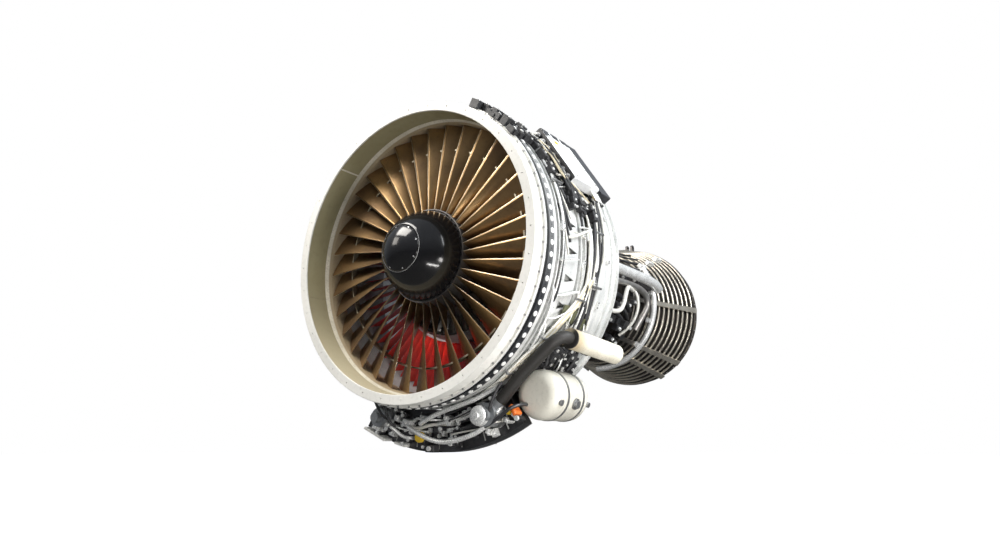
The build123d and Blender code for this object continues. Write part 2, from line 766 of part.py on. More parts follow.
# Front shaft bearing, its rollers between the shaft's journal and the outer race
def bearing(land_r, housing_r, front, back, rollers):
    """The outer race of a bearing and its rollers, which run on a shaft's journal."""
    roller_r = (housing_r - 10 - land_r) / 2 - RUN
    with BuildPart() as race:
        rings((housing_r - 10, housing_r - RUN, front, back))
    with BuildPart() as roller:
        with Locations(Plane(origin=(land_r + RUN + roller_r, front, 0), z_dir=(0, 1, 0))):
            Cylinder(roller_r, back - front, align=(Align.CENTER, Align.CENTER, Align.MIN))
    with BuildPart() as whole:
        add([race.part, *around(roller.part, rollers)])
    return whole.part


with BuildPart() as fan_bearing:
    add(bearing(SHAFT_R + LAND_T, SHAFT_R + 40, FRAME_Y, FRAME_Y + FLANGE_T, 20))
save(fan_bearing.part, "fan_bearing")

with BuildPart() as core_bearing:
    add(bearing(CORE_SHAFT_R, CORE_SHAFT_R + 42, COLLAR_Y - 24, COLLAR_Y, 16))
save(core_bearing.part, "core_bearing")


def core_share(stage):
    """How far along the compressor a stage stands, from 0 to 1."""
    return stage / (CORE_STAGES - 1)


def core_tip(stage):
    """Inner radius of the compressor case at a stage."""
    return CORE_TIP_R + (CORE_TIP_END_R - CORE_TIP_R) * core_share(stage)


def core_hub(stage):
    """Outer radius of the compressor drum at a stage."""
    return CORE_HUB_R + (CORE_HUB_END_R - CORE_HUB_R) * core_share(stage)


# Compressor rotor with its stub shaft, the blade rows and the bevel gear that drives the accessories
BEVEL_RATIO = CORE_GEAR_TEETH / RADIAL_GEAR_TEETH
CORE_CONE = degrees(asin(CORE_GEAR_R / (CORE_GEAR_R**2 + RADIAL_GEAR_R**2) ** 0.5))
with BuildPart() as compressor_rotor:
    core_bands = [
        (
            core_hub(stage) - CORE_DRUM_T,
            core_hub(stage),
            CORE_FIRST_Y + stage * CORE_PITCH,
            CORE_FIRST_Y + (stage + 1) * CORE_PITCH,
        )
        for stage in range(CORE_STAGES)
    ]
    rings(
        *core_bands,
        (CORE_BORE_R, CORE_SHAFT_R, BEVEL_Y + RADIAL_GEAR_R - 15, CORE_FIRST_Y + 20),
        (CORE_BORE_R, CORE_HUB_R, CORE_FIRST_Y, CORE_FIRST_Y + 20),
        (CORE_BORE_R, core_hub(CORE_STAGES - 1), core_bands[-1][3] - 20, core_bands[-1][3]),
        (CORE_BORE_R, CORE_SHAFT_R, core_bands[-1][3] - 20, HPT_YS[0] - 12),
        (CORE_BORE_R, CORE_SHAFT_R + 60, HPT_YS[0] - 32, HPT_YS[0] - 12),
    )
    core_rows = []
    for stage in range(CORE_STAGES):
        row_y = CORE_FIRST_Y + stage * CORE_PITCH + 3
        blade = vane_form(core_hub(stage) - 3, core_tip(stage) - TIP, row_y, CORE_CHORD, 35, 3)
        core_rows += around(blade, CORE_BLADES, CORE_FIRST)
    add(core_rows)
    with Locations(Plane(origin=(0, BEVEL_Y, 0), x_dir=(0, 0, -1), z_dir=(0, 1, 0))):
        add(bevel_form(CORE_GEAR_R, CORE_GEAR_TEETH, CORE_CONE, CORE_BORE_R, 0))
save(compressor_rotor.part, "compressor_rotor")

# Compressor stator vanes, one row behind each blade row but the last
with BuildPart() as compressor_vanes:
    core_rows = []
    for stage in range(CORE_STAGES - 1):
        row_y = CORE_FIRST_Y + (stage + 0.5) * CORE_PITCH + 2
        vane = vane_form(core_hub(stage) + TIP, core_tip(stage) - SEAT, row_y, CORE_CHORD - 2, -25, 3)
        core_rows += around(vane, CORE_BLADES)
    add(core_rows)
save(compressor_vanes.part, "compressor_vanes")

# Compressor case in two halves, bolted along the horizontal joint
CORE_CASE_R = CORE_TIP_R + CORE_CASE_T
PAD_ANGLES = (22, 67, 112, 157)
PAD_YS = [CORE_FIRST_Y + (index + 0.5) * CORE_PITCH for index in range(UNISON_RINGS)]
with BuildPart() as case_half:
    case_bands = [
        (core_tip(stage), core_tip(stage) + CORE_CASE_T, band[2], band[3])
        for stage, band in enumerate(core_bands)
    ]
    rings(
        *case_bands,
        (CORE_TIP_R, CORE_CASE_R, COLLAR_Y, CORE_FIRST_Y),
        (CORE_TIP_R, CORE_CASE_R + CORE_FLANGE_H, COLLAR_Y, COLLAR_Y + FLANGE_T),
        (
            core_tip(CORE_STAGES - 1),
            CORE_CASE_R + CORE_FLANGE_H,
            CORE_CASE_END_Y - FLANGE_T,
            CORE_CASE_END_Y,
        ),
        (core_tip(CORE_STAGES - 1), CORE_TIP_END_R + CORE_CASE_T, core_bands[-1][3], CORE_CASE_END_Y),
        arc=180,
    )
    with BuildSketch(Plane.XY):
        with BuildLine():
            Polyline(
                (CORE_TIP_R + 4, COLLAR_Y),
                (CORE_CASE_R + CORE_FLANGE_H, COLLAR_Y),
                (CORE_TIP_END_R + CORE_CASE_T + CORE_FLANGE_H, CORE_CASE_END_Y),
                (CORE_TIP_END_R + 4, CORE_CASE_END_Y),
                close=True,
            )
        make_face()
        mirror(about=Plane.YZ)
    extrude(amount=-FLANGE_T)
    for stage, pad_y in enumerate(PAD_YS):
        pad_in_r = core_tip(stage) + 2
        for pad_angle in PAD_ANGLES:
            turn = radians(pad_angle)
            with Locations(Plane(origin=(0, pad_y, 0), x_dir=(cos(turn), 0, -sin(turn)), z_dir=(0, 1, 0))):
                with Locations(((pad_in_r + UNISON_R - SEAT) / 2, 0, 0)):
                    Box(UNISON_R - SEAT - pad_in_r, 16, UNISON_W)
with BuildPart() as compressor_case_lower:
    add(case_half.part)
save(compressor_case_lower.part, "compressor_case_lower")
with BuildPart() as compressor_case_upper:
    add(case_half.part.rotate(Axis.Y, 180))
save(compressor_case_upper.part, "compressor_case_upper")

# Combustor case from the compressor to the low pressure turbine, with a hole for each fuel nozzle
with BuildPart() as combustor_case:
    turned(
        [
            (CORE_TIP_END_R, CORE_CASE_END_Y),
            (CORE_CASE_R + CORE_FLANGE_H, CORE_CASE_END_Y),
            (CORE_CASE_R + CORE_FLANGE_H, CORE_CASE_END_Y + FLANGE_T),
            (CORE_TIP_END_R + 12, CORE_CASE_END_Y + FLANGE_T),
            (COMBUSTOR_R, NOZZLE_Y - 60),
            (COMBUSTOR_R, COMBUSTOR_END_Y),
            (TURBINE_CASE_R, TURBINE_Y - FLANGE_T),
            (TURBINE_CASE_R + CORE_FLANGE_H + 24, TURBINE_Y - FLANGE_T),
            (TURBINE_CASE_R + CORE_FLANGE_H + 24, TURBINE_Y),
            (TURBINE_CASE_R - 12, TURBINE_Y),
            (COMBUSTOR_R - 12, COMBUSTOR_END_Y),
            (COMBUSTOR_R - 12, NOZZLE_Y - 50),
        ]
    )
    with Locations(station(NOZZLE_Y)), PolarLocations(COMBUSTOR_R, NOZZLES):
        Cylinder(NOZZLE_R + 2, 60, rotation=(0, 90, 0), mode=Mode.SUBTRACT)
save(combustor_case.part, "combustor_case")

# Ring-shaped combustor liner with a domed front plate, closed to a ring at its rear
with BuildPart() as combustor_liner:
    rings(
        (LINER_IN_R, LINER_IN_R + 4, NOZZLE_Y + 20, COMBUSTOR_END_Y),
        (LINER_OUT_R - 4, LINER_OUT_R, NOZZLE_Y + 20, COMBUSTOR_END_Y),
        (LINER_IN_R, LINER_OUT_R, NOZZLE_Y + 20, NOZZLE_Y + 26),
        (LINER_OUT_R - 4, COMBUSTOR_R - 12 - SEAT, COMBUSTOR_END_Y - 6, COMBUSTOR_END_Y),
    )
    with Locations(station(NOZZLE_Y)), PolarLocations(SWIRLER_R, NOZZLES):
        Hole(NOZZLE_R + 2, depth=40)
save(combustor_liner.part, "combustor_liner")

# Fuel nozzles: a foot on the case, a stem through it and a tip into the liner
with BuildPart() as nozzle_form:
    with BuildSketch(Plane.YZ.offset(COMBUSTOR_R + SEAT)):
        with Locations((NOZZLE_Y, 0)):
            SlotOverall(48, 26)
    extrude(amount=NOZZLE_FOOT_T)
    with BuildSketch(Plane.YZ.offset(SWIRLER_R)):
        with Locations((NOZZLE_Y, 0)):
            Circle(NOZZLE_R)
    extrude(amount=COMBUSTOR_R + NOZZLE_FOOT_T + 10 - SWIRLER_R)
    with Locations(Plane(origin=(SWIRLER_R, NOZZLE_Y, 0), z_dir=(0, 1, 0))):
        Cylinder(NOZZLE_R - 1, 24, align=(Align.CENTER, Align.CENTER, Align.MIN))
with BuildPart() as fuel_nozzles:
    add(around(nozzle_form.part, NOZZLES))
save(fuel_nozzles.part, "fuel_nozzles")

# Fuel manifold ring that rests on the heads of the nozzles
with BuildPart() as fuel_manifold:
    with Locations(station(NOZZLE_Y)):
        Torus(COMBUSTOR_R + NOZZLE_FOOT_T + 10 + SEAT + MANIFOLD_R, MANIFOLD_R)
save(fuel_manifold.part, "fuel_manifold")

# Turbine nozzle ring ahead of the high pressure turbine
with BuildPart() as turbine_nozzle:
    rings(
        (HPT_TIP_R + 4, COMBUSTOR_R - 12 - SEAT, COMBUSTOR_END_Y, COMBUSTOR_END_Y + 44),
        (HPT_HUB_R - 12, HPT_HUB_R, COMBUSTOR_END_Y, COMBUSTOR_END_Y + 44),
    )
    vane = vane_form(HPT_HUB_R - 4, HPT_TIP_R + 8, COMBUSTOR_END_Y + 6, 34, -30, 7)
    add(around(vane, 36))
save(turbine_nozzle.part, "turbine_nozzle")

# High pressure turbine: two bladed disks on the drum behind the compressor
with BuildPart() as core_turbine_rotor:
    rings(
        (CORE_BORE_R, CORE_SHAFT_R + 60, HPT_YS[0] - 12, HPT_YS[0]),
        *[(CORE_BORE_R + 20, HPT_HUB_R, disk_y, disk_y + 44) for disk_y in HPT_YS],
        (CORE_BORE_R + 20, CORE_SHAFT_R + 60, HPT_YS[0] - 12, HPT_YS[1] + 44),
    )
    for disk_y in HPT_YS:
        blade = vane_form(HPT_HUB_R - 3, HPT_TIP_R, disk_y + 4, 36, 30, 8)
        add(around(blade, 36))
save(core_turbine_rotor.part, "core_turbine_rotor")


def lpt_case(y):
    """Inner radius of the low pressure turbine's case at a station."""
    return LPT_FRONT_R + (LPT_BACK_R - LPT_FRONT_R) * (y - TURBINE_Y) / (LPT_END_Y - TURBINE_Y)


def lpt_hub(stage):
    """Outer radius of the low pressure turbine's drum at a stage."""
    return LPT_HUB_R + (LPT_HUB_END_R - LPT_HUB_R) * stage / (LPT_STAGES - 1)


# Low pressure turbine case, a cone between two flanges with a step over each blade row
LPT_ROWS = [LPT_FIRST_Y + stage * LPT_PITCH for stage in range(LPT_STAGES)]
with BuildPart() as lp_turbine_case:
    case_steps = []
    for row_y in LPT_ROWS:
        case_steps.append((lpt_case(row_y - 20), row_y - 20))
        case_steps.append((lpt_case(row_y - 20), row_y + LPT_CHORD + 20))
    turned(
        [
            (LPT_FRONT_R - 12, TURBINE_Y),
            (LPT_FRONT_R + CORE_FLANGE_H, TURBINE_Y),
            (LPT_FRONT_R + CORE_FLANGE_H, TURBINE_Y + FLANGE_T),
            (lpt_case(TURBINE_Y + FLANGE_T) + LPT_CASE_T + 24, TURBINE_Y + FLANGE_T),
            (LPT_BACK_R + LPT_CASE_T + 24, LPT_END_Y - FLANGE_T),
            (LPT_BACK_R + LPT_CASE_T + CORE_FLANGE_H + 24, LPT_END_Y - FLANGE_T),
            (LPT_BACK_R + LPT_CASE_T + CORE_FLANGE_H + 24, LPT_END_Y),
            (LPT_BACK_R - 2, LPT_END_Y),
            *reversed(case_steps),
        ]
    )
save(lp_turbine_case.part, "lp_turbine_case")

# Low pressure turbine rotor: five bladed disks on one drum, carried by a flange on the shaft
with BuildPart() as lp_turbine_rotor:
    rings(
        *[
            (lpt_hub(stage) - 14, lpt_hub(stage), row_y - 10, row_y + LPT_PITCH - 10)
            for stage, row_y in enumerate(LPT_ROWS[:-1])
        ],
        (LPT_HUB_END_R - 60, LPT_HUB_END_R, LPT_ROWS[-1] - 10, LPT_ROWS[-1] + LPT_CHORD + 10),
        *[
            (lpt_hub(stage) - 14, lpt_hub(stage + 1), row_y + LPT_PITCH - 20, row_y + LPT_PITCH)
            for stage, row_y in enumerate(LPT_ROWS[:-1])
        ],
        (SHAFT_R + 10, lpt_hub(2) - 4, LPT_FLANGE_Y, LPT_FLANGE_Y + 22),
    )
    for stage, row_y in enumerate(LPT_ROWS):
        blade = vane_form(lpt_hub(stage) - 4, lpt_case(row_y - 20) - TIP, row_y, LPT_CHORD, 30, 7)
        add(around(blade, LPT_BLADES))
save(lp_turbine_rotor.part, "lp_turbine_rotor")

# Low pressure turbine stator vanes, one row ahead of each blade row but the first
with BuildPart() as lp_turbine_vanes:
    for stage, row_y in enumerate(LPT_ROWS[1:]):
        vane_y = row_y - LPT_PITCH / 2 + 5
        outer = lpt_case(row_y - LPT_PITCH + LPT_CHORD + 20) - SEAT - 18
        add(around(vane_form(lpt_hub(stage) + TIP, outer, vane_y, 70, -25, 7), LPT_BLADES // 2))
save(lp_turbine_vanes.part, "lp_turbine_vanes")

# Turbine cooling tubes: hoops around the case, joined by feeders that end on its flanges
TUBE_FIRST_Y = TURBINE_Y + FLANGE_T + 40
TUBE_PITCH = (LPT_END_Y - FLANGE_T - 40 - TUBE_FIRST_Y) / (TUBES - 1)
CASE_SKIN = LPT_CASE_T + 24
FEEDER_IN = CASE_SKIN + TUBE_GAP + TUBE_R
FEEDER_OUT = CASE_SKIN + TUBE_GAP + 4 * TUBE_R
with BuildPart() as feeder_form:
    turned(
        [
            (lpt_case(TURBINE_Y + FLANGE_T) + FEEDER_IN, TURBINE_Y + FLANGE_T),
            (lpt_case(TURBINE_Y + FLANGE_T) + FEEDER_OUT, TURBINE_Y + FLANGE_T),
            (LPT_BACK_R + FEEDER_OUT, LPT_END_Y - FLANGE_T),
            (LPT_BACK_R + FEEDER_IN, LPT_END_Y - FLANGE_T),
        ],
        arc=FEEDER_ARC,
    )
with BuildPart() as cooling_tubes:
    add(at_angles(feeder_form.part, [angle + FEEDER_ARC / 2 for angle in FEEDERS]))
    for tube in range(TUBES):
        tube_y = TUBE_FIRST_Y + tube * TUBE_PITCH
        with Locations(station(tube_y)):
            Torus(lpt_case(tube_y) + CASE_SKIN + TUBE_GAP + TUBE_R, TUBE_R)
save(cooling_tubes.part, "cooling_tubes")

# Turbine rear frame: outer ring, struts and the hub that holds the rear bearing
with BuildPart() as rear_strut_form:
    with BuildSketch(Plane.YZ.offset(REAR_HUB_R - 10)):
        with Locations(((LPT_END_Y + REAR_END_Y) / 2, 0)):
            SlotOverall(REAR_END_Y - LPT_END_Y - 40, 22)
    extrude(amount=LPT_BACK_R + 6 - REAR_HUB_R + 10)
with BuildPart() as turbine_rear_frame:
    rings(
        (LPT_BACK_R, LPT_BACK_R + 12, LPT_END_Y, REAR_END_Y),
        (LPT_BACK_R, LPT_BACK_R + CASE_SKIN + CORE_FLANGE_H, LPT_END_Y, LPT_END_Y + FLANGE_T),
        (LPT_BACK_R, LPT_BACK_R + CASE_SKIN, REAR_END_Y - FLANGE_T, REAR_END_Y),
        (REAR_HUB_R - 20, REAR_HUB_R, LPT_END_Y, REAR_END_Y),
        (SHAFT_R + 40, REAR_HUB_R, SHAFT_END_Y - 60, SHAFT_END_Y - 36),
    )
    add(around(rear_strut_form.part, STRUTS, 360 / STRUTS / 2))
    with Locations(station(REAR_END_Y - FLANGE_T)), PolarLocations(EXHAUST_BOLT_R, EXHAUST_BOLTS):
        Hole(COWL_HOLE_R, depth=FLANGE_T)
save(turbine_rear_frame.part, "turbine_rear_frame")

with BuildPart() as rear_bearing:
    add(bearing(SHAFT_R + LAND_T, SHAFT_R + 40, SHAFT_END_Y - 60, SHAFT_END_Y - 36, 20))
save(rear_bearing.part, "rear_bearing")

# Cover that closes the rear hub
with BuildPart() as rear_cover:
    rings((0, REAR_HUB_R, REAR_END_Y, REAR_END_Y + 6))
save(rear_cover.part, "rear_cover")


def clevis(bore, inner, base, height, front, back):
    """Two lugs on a base that face along X, standing on the +Z side of the engine."""
    with BuildPart() as lugs:
        with Locations((0, (front + back) / 2, inner)):
            Box(4 * bore + 60, back - front, base, align=(Align.CENTER, Align.CENTER, Align.MIN))
        for side in (-1, 1):
            with BuildSketch(Plane.YZ.offset(side * (bore + 15) - 12)):
                with Locations(((front + back) / 2, inner + base)):
                    Rectangle(3.6 * bore, height, align=(Align.CENTER, Align.MIN))
                with Locations(((front + back) / 2, inner + base + height)):
                    Circle(1.8 * bore)
                    Circle(bore, mode=Mode.SUBTRACT)
            extrude(amount=24)
        with Locations(Plane(origin=(0, (front + back) / 2, inner + base + height), z_dir=(1, 0, 0))):
            Cylinder(bore, 8 * bore, mode=Mode.SUBTRACT)
    return lugs.part


# Mounts that hang the engine from its pylon
with BuildPart() as forward_mount:
    add(clevis(CLEVIS_BORE_R, MOUNT_R, 60, 70, FRAME_END_Y, FRAME_END_Y + 120))
save(forward_mount.part, "forward_mount")

with BuildPart() as aft_mount:
    add(clevis(AFT_BORE_R, LPT_BACK_R + 13, 70, 50, LPT_END_Y + FLANGE_T, REAR_END_Y - FLANGE_T))
save(aft_mount.part, "aft_mount")

# Accessory drive: a radial shaft from the core's bevel gear, then a drive shaft forward to the gearbox
RADIAL_CONE = 90 - CORE_CONE
DRIVE_AXIS = Plane(origin=(0, 0, -GEAR_ARC_R), z_dir=(0, 1, 0))
with BuildPart() as radial_shaft:
    with Locations(Plane(origin=(0, BEVEL_Y, 0), x_dir=(0, 1, 0), z_dir=(0, 0, -1))):
        add(bevel_form(RADIAL_GEAR_R, RADIAL_GEAR_TEETH, RADIAL_CONE, 0, 180 / RADIAL_GEAR_TEETH))
    with Locations(Plane(origin=(0, BEVEL_Y, -GEAR_ARC_R), x_dir=(0, -1, 0), z_dir=(0, 0, 1))):
        add(bevel_form(TRANSFER_GEAR_R, TRANSFER_TEETH, 45, 0, 0))
    with Locations((0, BEVEL_Y, -RADIAL_GEAR_R * BEVEL_RATIO + 5)):
        Cylinder(
            DRIVE_R,
            GEAR_ARC_R - TRANSFER_GEAR_R - RADIAL_GEAR_R * BEVEL_RATIO + 10,
            align=(Align.CENTER, Align.CENTER, Align.MAX),
        )
save(radial_shaft.part, "radial_shaft")

GEAR_STEP = 2 * degrees(asin(GEAR_R / GEAR_ARC_R))
TOOTH_STEP = 360 / GEAR_TEETH
GEAR_NAMES = ("fuel_pump_gear", "hydraulic_pump_gear", "drive_shaft", "generator_gear", "starter_gear")
# which way each gear's shaft leaves the gearbox: 1 forward, -1 aft
GEAR_SIDES = (1, -1, -1, -1, 1)


def gear_centre(index):
    """Where a gear of the train stands across the engine's axis."""
    angle = radians(-90 + (index - 2) * GEAR_STEP)
    return GEAR_ARC_R * cos(angle), GEAR_ARC_R * sin(angle)


def mesh_angle(index):
    """The direction from one gear of the train to the next."""
    return -90 + (index - 2) * GEAR_STEP + GEAR_STEP / 2 + 90


# each gear has a gap where its neighbour has a tooth
gear_phases = [0]
for index in range(4):
    gear_phases.append(2 * mesh_angle(index) - gear_phases[-1] + TOOTH_STEP / 2)

for index, name in enumerate(GEAR_NAMES):
    centre_x, centre_z = gear_centre(index)
    with BuildPart() as train_gear:
        with BuildSketch(station(GEAR_Y)):
            with Locations((centre_x, centre_z)):
                Polygon(*spur_outline(GEAR_R, GEAR_TEETH, gear_phases[index]), align=None)
        extrude(amount=-GEAR_W)
        if name == "drive_shaft":
            with Locations(Plane(origin=(0, BEVEL_Y, -GEAR_ARC_R), x_dir=(0, 0, 1), z_dir=(0, -1, 0))):
                add(bevel_form(TRANSFER_GEAR_R, TRANSFER_TEETH, 45, 0, 180 / TRANSFER_TEETH))
            with BuildSketch(station(BOX_FRONT_Y + 1)):
                with Locations((centre_x, centre_z)):
                    Circle(DRIVE_R)
            extrude(amount=BOX_FRONT_Y + 1 - BEVEL_Y + TRANSFER_GEAR_R - 5)
        elif GEAR_SIDES[index] > 0:
            with BuildSketch(station(BOX_FRONT_Y - SHAFT_REACH)):
                with Locations((centre_x, centre_z)):
                    Circle(GEAR_SHAFT_R)
            extrude(amount=BOX_FRONT_Y - SHAFT_REACH - BOX_BACK_Y - COVER_T + 1)
        else:
            with BuildSketch(station(BOX_FRONT_Y + 1)):
                with Locations((centre_x, centre_z)):
                    Circle(GEAR_SHAFT_R)
            extrude(amount=BOX_FRONT_Y + 1 - BOX_BACK_Y - COVER_T - SHAFT_REACH)
    save(train_gear.part, name)

GEAR_BORES = [DRIVE_R if name == "drive_shaft" else GEAR_SHAFT_R for name in GEAR_NAMES]


def box_sector(inner, outer, front, back, half_angle):
    """A ring sector under the engine, centred on the six o'clock position."""
    with BuildPart() as sector:
        rings((inner, outer, front, back), arc=2 * half_angle)
    return sector.part.rotate(Axis.Y, 90 - half_angle)


# Gearbox housing with its lugs on the fan case's flange, and its rear cover
BOX_MID_R = (BOX_IN_R + BOX_OUT_R) / 2
WALL_ANGLE = degrees(BOX_WALL / BOX_MID_R)
with BuildPart() as gearbox_housing:
    add(box_sector(BOX_IN_R, BOX_OUT_R, BOX_FRONT_Y, BOX_BACK_Y, BOX_HALF_ANGLE))
    add(
        box_sector(
            BOX_IN_R + BOX_WALL,
            BOX_OUT_R - BOX_WALL,
            BOX_FRONT_Y + BOX_WALL,
            BOX_BACK_Y,
            BOX_HALF_ANGLE - WALL_ANGLE,
        ),
        mode=Mode.SUBTRACT,
    )
    for lug_angle in (-90 - LUG_ANGLE, -90 + LUG_ANGLE):
        with Locations(
            Plane(
                origin=(0, MID_SPLIT_Y + FLANGE_T, 0),
                x_dir=(cos(radians(lug_angle)), 0, sin(radians(lug_angle))),
                z_dir=(0, 1, 0),
            )
        ):
            with Locations(((PANEL_R + 6 + BOX_IN_R + 30) / 2, 0, 0)):
                Box(
                    BOX_IN_R + 30 - PANEL_R - 6,
                    LUG_W,
                    BOX_FRONT_Y + BOX_WALL - MID_SPLIT_Y - FLANGE_T,
                    align=(Align.CENTER, Align.CENTER, Align.MIN),
                )
    for index, bore in enumerate(GEAR_BORES):
        with BuildSketch(station(BOX_FRONT_Y - 1)):
            with Locations(gear_centre(index)):
                Circle(bore + RUN)
        extrude(amount=-BOX_WALL - 2, mode=Mode.SUBTRACT)
save(gearbox_housing.part, "gearbox_housing")

with BuildPart() as gearbox_cover:
    add(box_sector(BOX_IN_R, BOX_OUT_R, BOX_BACK_Y, BOX_BACK_Y + COVER_T, BOX_HALF_ANGLE))
    for index, bore in enumerate(GEAR_BORES):
        with BuildSketch(station(BOX_BACK_Y - 1)):
            with Locations(gear_centre(index)):
                Circle(bore + RUN)
        extrude(amount=-COVER_T - 2, mode=Mode.SUBTRACT)
save(gearbox_cover.part, "gearbox_cover")

# Transfer housing around the lower bevel gears, with a tube for the drive shaft
TRANSFER_R = TRANSFER_GEAR_R + TRANSFER_ROOM
with BuildPart() as transfer_housing:
    with Locations((0, BEVEL_Y, -PAD_Z)):
        Cylinder(
            TRANSFER_R,
            GEAR_ARC_R + TRANSFER_R - PAD_Z,
            align=(Align.CENTER, Align.CENTER, Align.MAX),
        )
    with BuildSketch(station(BOX_BACK_Y + COVER_T)):
        with Locations((0, -GEAR_ARC_R)):
            Circle(TUBE_OUT_R)
    extrude(amount=BOX_BACK_Y + COVER_T - BEVEL_Y)
    with Locations((0, BEVEL_Y, -PAD_Z - BOX_WALL)):
        Cylinder(
            TRANSFER_R - BOX_WALL,
            GEAR_ARC_R + TRANSFER_R - PAD_Z - 2 * BOX_WALL,
            align=(Align.CENTER, Align.CENTER, Align.MAX),
            mode=Mode.SUBTRACT,
        )
    with Locations((0, BEVEL_Y, -PAD_Z + 1)):
        Cylinder(
            DRIVE_R + RUN, 3 * BOX_WALL, align=(Align.CENTER, Align.CENTER, Align.MAX), mode=Mode.SUBTRACT
        )
    with BuildSketch(station(BOX_BACK_Y + COVER_T - 1)):
        with Locations((0, -GEAR_ARC_R)):
            Circle(DRIVE_HOLE_R)
    extrude(amount=BOX_BACK_Y + COVER_T - BEVEL_Y, mode=Mode.SUBTRACT)
save(transfer_housing.part, "transfer_housing")


def accessory(index, side, radii):
    """A turned accessory on the gearbox: its radii, each over a length, with a pocket for the gear's shaft."""
    face_y = BOX_FRONT_Y if side > 0 else BOX_BACK_Y + COVER_T
    with BuildPart() as body:
        reach = 0
        for radius, length in radii:
            with BuildSketch(station(face_y - side * reach)):
                with Locations(gear_centre(index)):
                    Circle(radius)
            extrude(amount=side * length)
            reach += length
        with BuildSketch(station(face_y)):
            with Locations(gear_centre(index)):
                Circle(GEAR_SHAFT_R + 4)
        extrude(amount=side * (SHAFT_REACH + 6), mode=Mode.SUBTRACT)
    return body.part


with BuildPart() as fuel_pump:
    add(accessory(0, 1, ((92, 12), (70, 70), (82, 60), (44, 50))))
save(fuel_pump.part, "fuel_pump")
with BuildPart() as hydraulic_pump:
    add(accessory(1, -1, ((80, 12), (60, 60), (72, 130), (40, 30))))
save(hydraulic_pump.part, "hydraulic_pump")
with BuildPart() as generator:
    add(accessory(3, -1, ((120, 14), (104, 60), (118, 200), (80, 40))))
save(generator.part, "generator")

# Starter, with a side inlet for its air duct
starter_x, starter_z = gear_centre(4)
INLET_PLANE = Plane(
    origin=(starter_x, INLET_Y, starter_z), x_dir=(0, 1, 0), z_dir=(sin(pi / 4), 0, cos(pi / 4))
)
with BuildPart() as starter:
    add(accessory(4, 1, ((100, 12), (78, 40), (94, 120), (60, 40))))
    with BuildSketch(INLET_PLANE.offset(60)):
        Circle(DUCT_PIPE_R)
    extrude(amount=INLET_REACH - 60)
    with BuildSketch(INLET_PLANE.offset(70)):
        Circle(DUCT_BORE_R)
    extrude(amount=INLET_REACH, mode=Mode.SUBTRACT)
save(starter.part, "starter")

# Starter air duct: a lagged straight run and a bare elbow down to the starter
inlet_bend = INLET_PLANE.offset(INLET_BEND_REACH).origin
inlet_face = INLET_PLANE.offset(INLET_REACH).origin
with BuildPart() as starter_duct:
    with BuildLine() as duct_path:
        FilletPolyline(DUCT_START, DUCT_ELBOW, inlet_bend, inlet_face, radius=DUCT_BEND_R)
    with BuildSketch(duct_path.line ^ 0):
        Circle(DUCT_PIPE_R)
    sweep()
    with BuildSketch(Plane(origin=DUCT_START, z_dir=Vector(*DUCT_ELBOW) - Vector(*DUCT_START))):
        Circle(DUCT_LAGGING_R)
    extrude(amount=LAGGING_L)
    with BuildSketch(duct_path.line ^ 0):
        Circle(DUCT_BORE_R)
    sweep(path=duct_path.line, mode=Mode.SUBTRACT)
save(starter_duct.part, "starter_duct")

# Oil tank with domed ends and two saddles on the ribs of the bypass case
with BuildPart() as oil_tank:
    with BuildSketch(Plane(origin=(TANK_X, TANK_FRONT_Y, TANK_Z), z_dir=(0, 1, 0))):
        Circle(TANK_R)
    extrude(amount=TANK_BACK_Y - TANK_FRONT_Y)
    fillet(oil_tank.edges().filter_by(GeomType.CIRCLE), TANK_ROUND)
    tank_angle = degrees(atan2(TANK_Z, TANK_X))
    for saddle_y in (RIB_YS[0] - SADDLE_T, RIB_YS[1] + FLANGE_T):
        with Locations(
            Plane(
                origin=(0, saddle_y, 0),
                x_dir=(cos(radians(tank_angle)), 0, sin(radians(tank_angle))),
                z_dir=(0, 1, 0),
            )
        ):
            with Locations(((PANEL_R + 6 + SADDLE_TOP_R) / 2, 0, 0)):
                Box(SADDLE_TOP_R - PANEL_R - 6, 160, SADDLE_T, align=(Align.CENTER, Align.CENTER, Align.MIN))
save(oil_tank.part, "oil_tank")


def case_box(angle, inner, outer, half_width, front, back, feet):
    """A flat-sided box outside the case, with a foot at each of some stations."""
    axis = Plane(
        origin=(0, 0, 0), x_dir=(cos(radians(angle)), 0, sin(radians(angle))), z_dir=(0, 1, 0)
    )
    with BuildPart() as unit:
        with Locations(axis.offset(front)):
            with Locations(((inner + outer) / 2, 0, 0)):
                Box(
                    outer - inner,
                    2 * half_width,
                    back - front,
                    align=(Align.CENTER, Align.CENTER, Align.MIN),
                )
        fillet(unit.edges().filter_by(Axis.Y), UNIT_ROUND)
        for foot_y in feet:
            with Locations(axis.offset(foot_y)):
                with Locations(((PANEL_R + 6 + inner + 10) / 2, 0, 0)):
                    Box(
                        inner + 4 - PANEL_R,
                        half_width,
                        SADDLE_T,
                        align=(Align.CENTER, Align.CENTER, Align.MIN),
                    )
    return unit.part


# Engine control unit and the junction box behind it
with BuildPart() as control_unit:
    feet = (RIB_YS[0] - SADDLE_T, RIB_YS[1] + FLANGE_T)
    add(case_box(UNIT_ANGLE, UNIT_IN_R, UNIT_OUT_R, UNIT_HALF_W, 520, 930, feet))
save(control_unit.part, "control_unit")
with BuildPart() as junction_box:
    feet = (FRAME_Y - FLANGE_T - SADDLE_T,)
    add(case_box(UNIT_ANGLE, UNIT_IN_R + 6, UNIT_OUT_R - 6, UNIT_HALF_W + 20, 960, 1130, feet))
save(junction_box.part, "junction_box")

# Hoop pipes around the bypass case, behind its ribs
with BuildPart() as case_pipes:
    for pipe_y in (800, 836, 872, 908):
        with Locations(station(pipe_y)):
            Torus(CASE_OUT + SEAT + CASE_PIPE_R, CASE_PIPE_R)
save(case_pipes.part, "case_pipes")

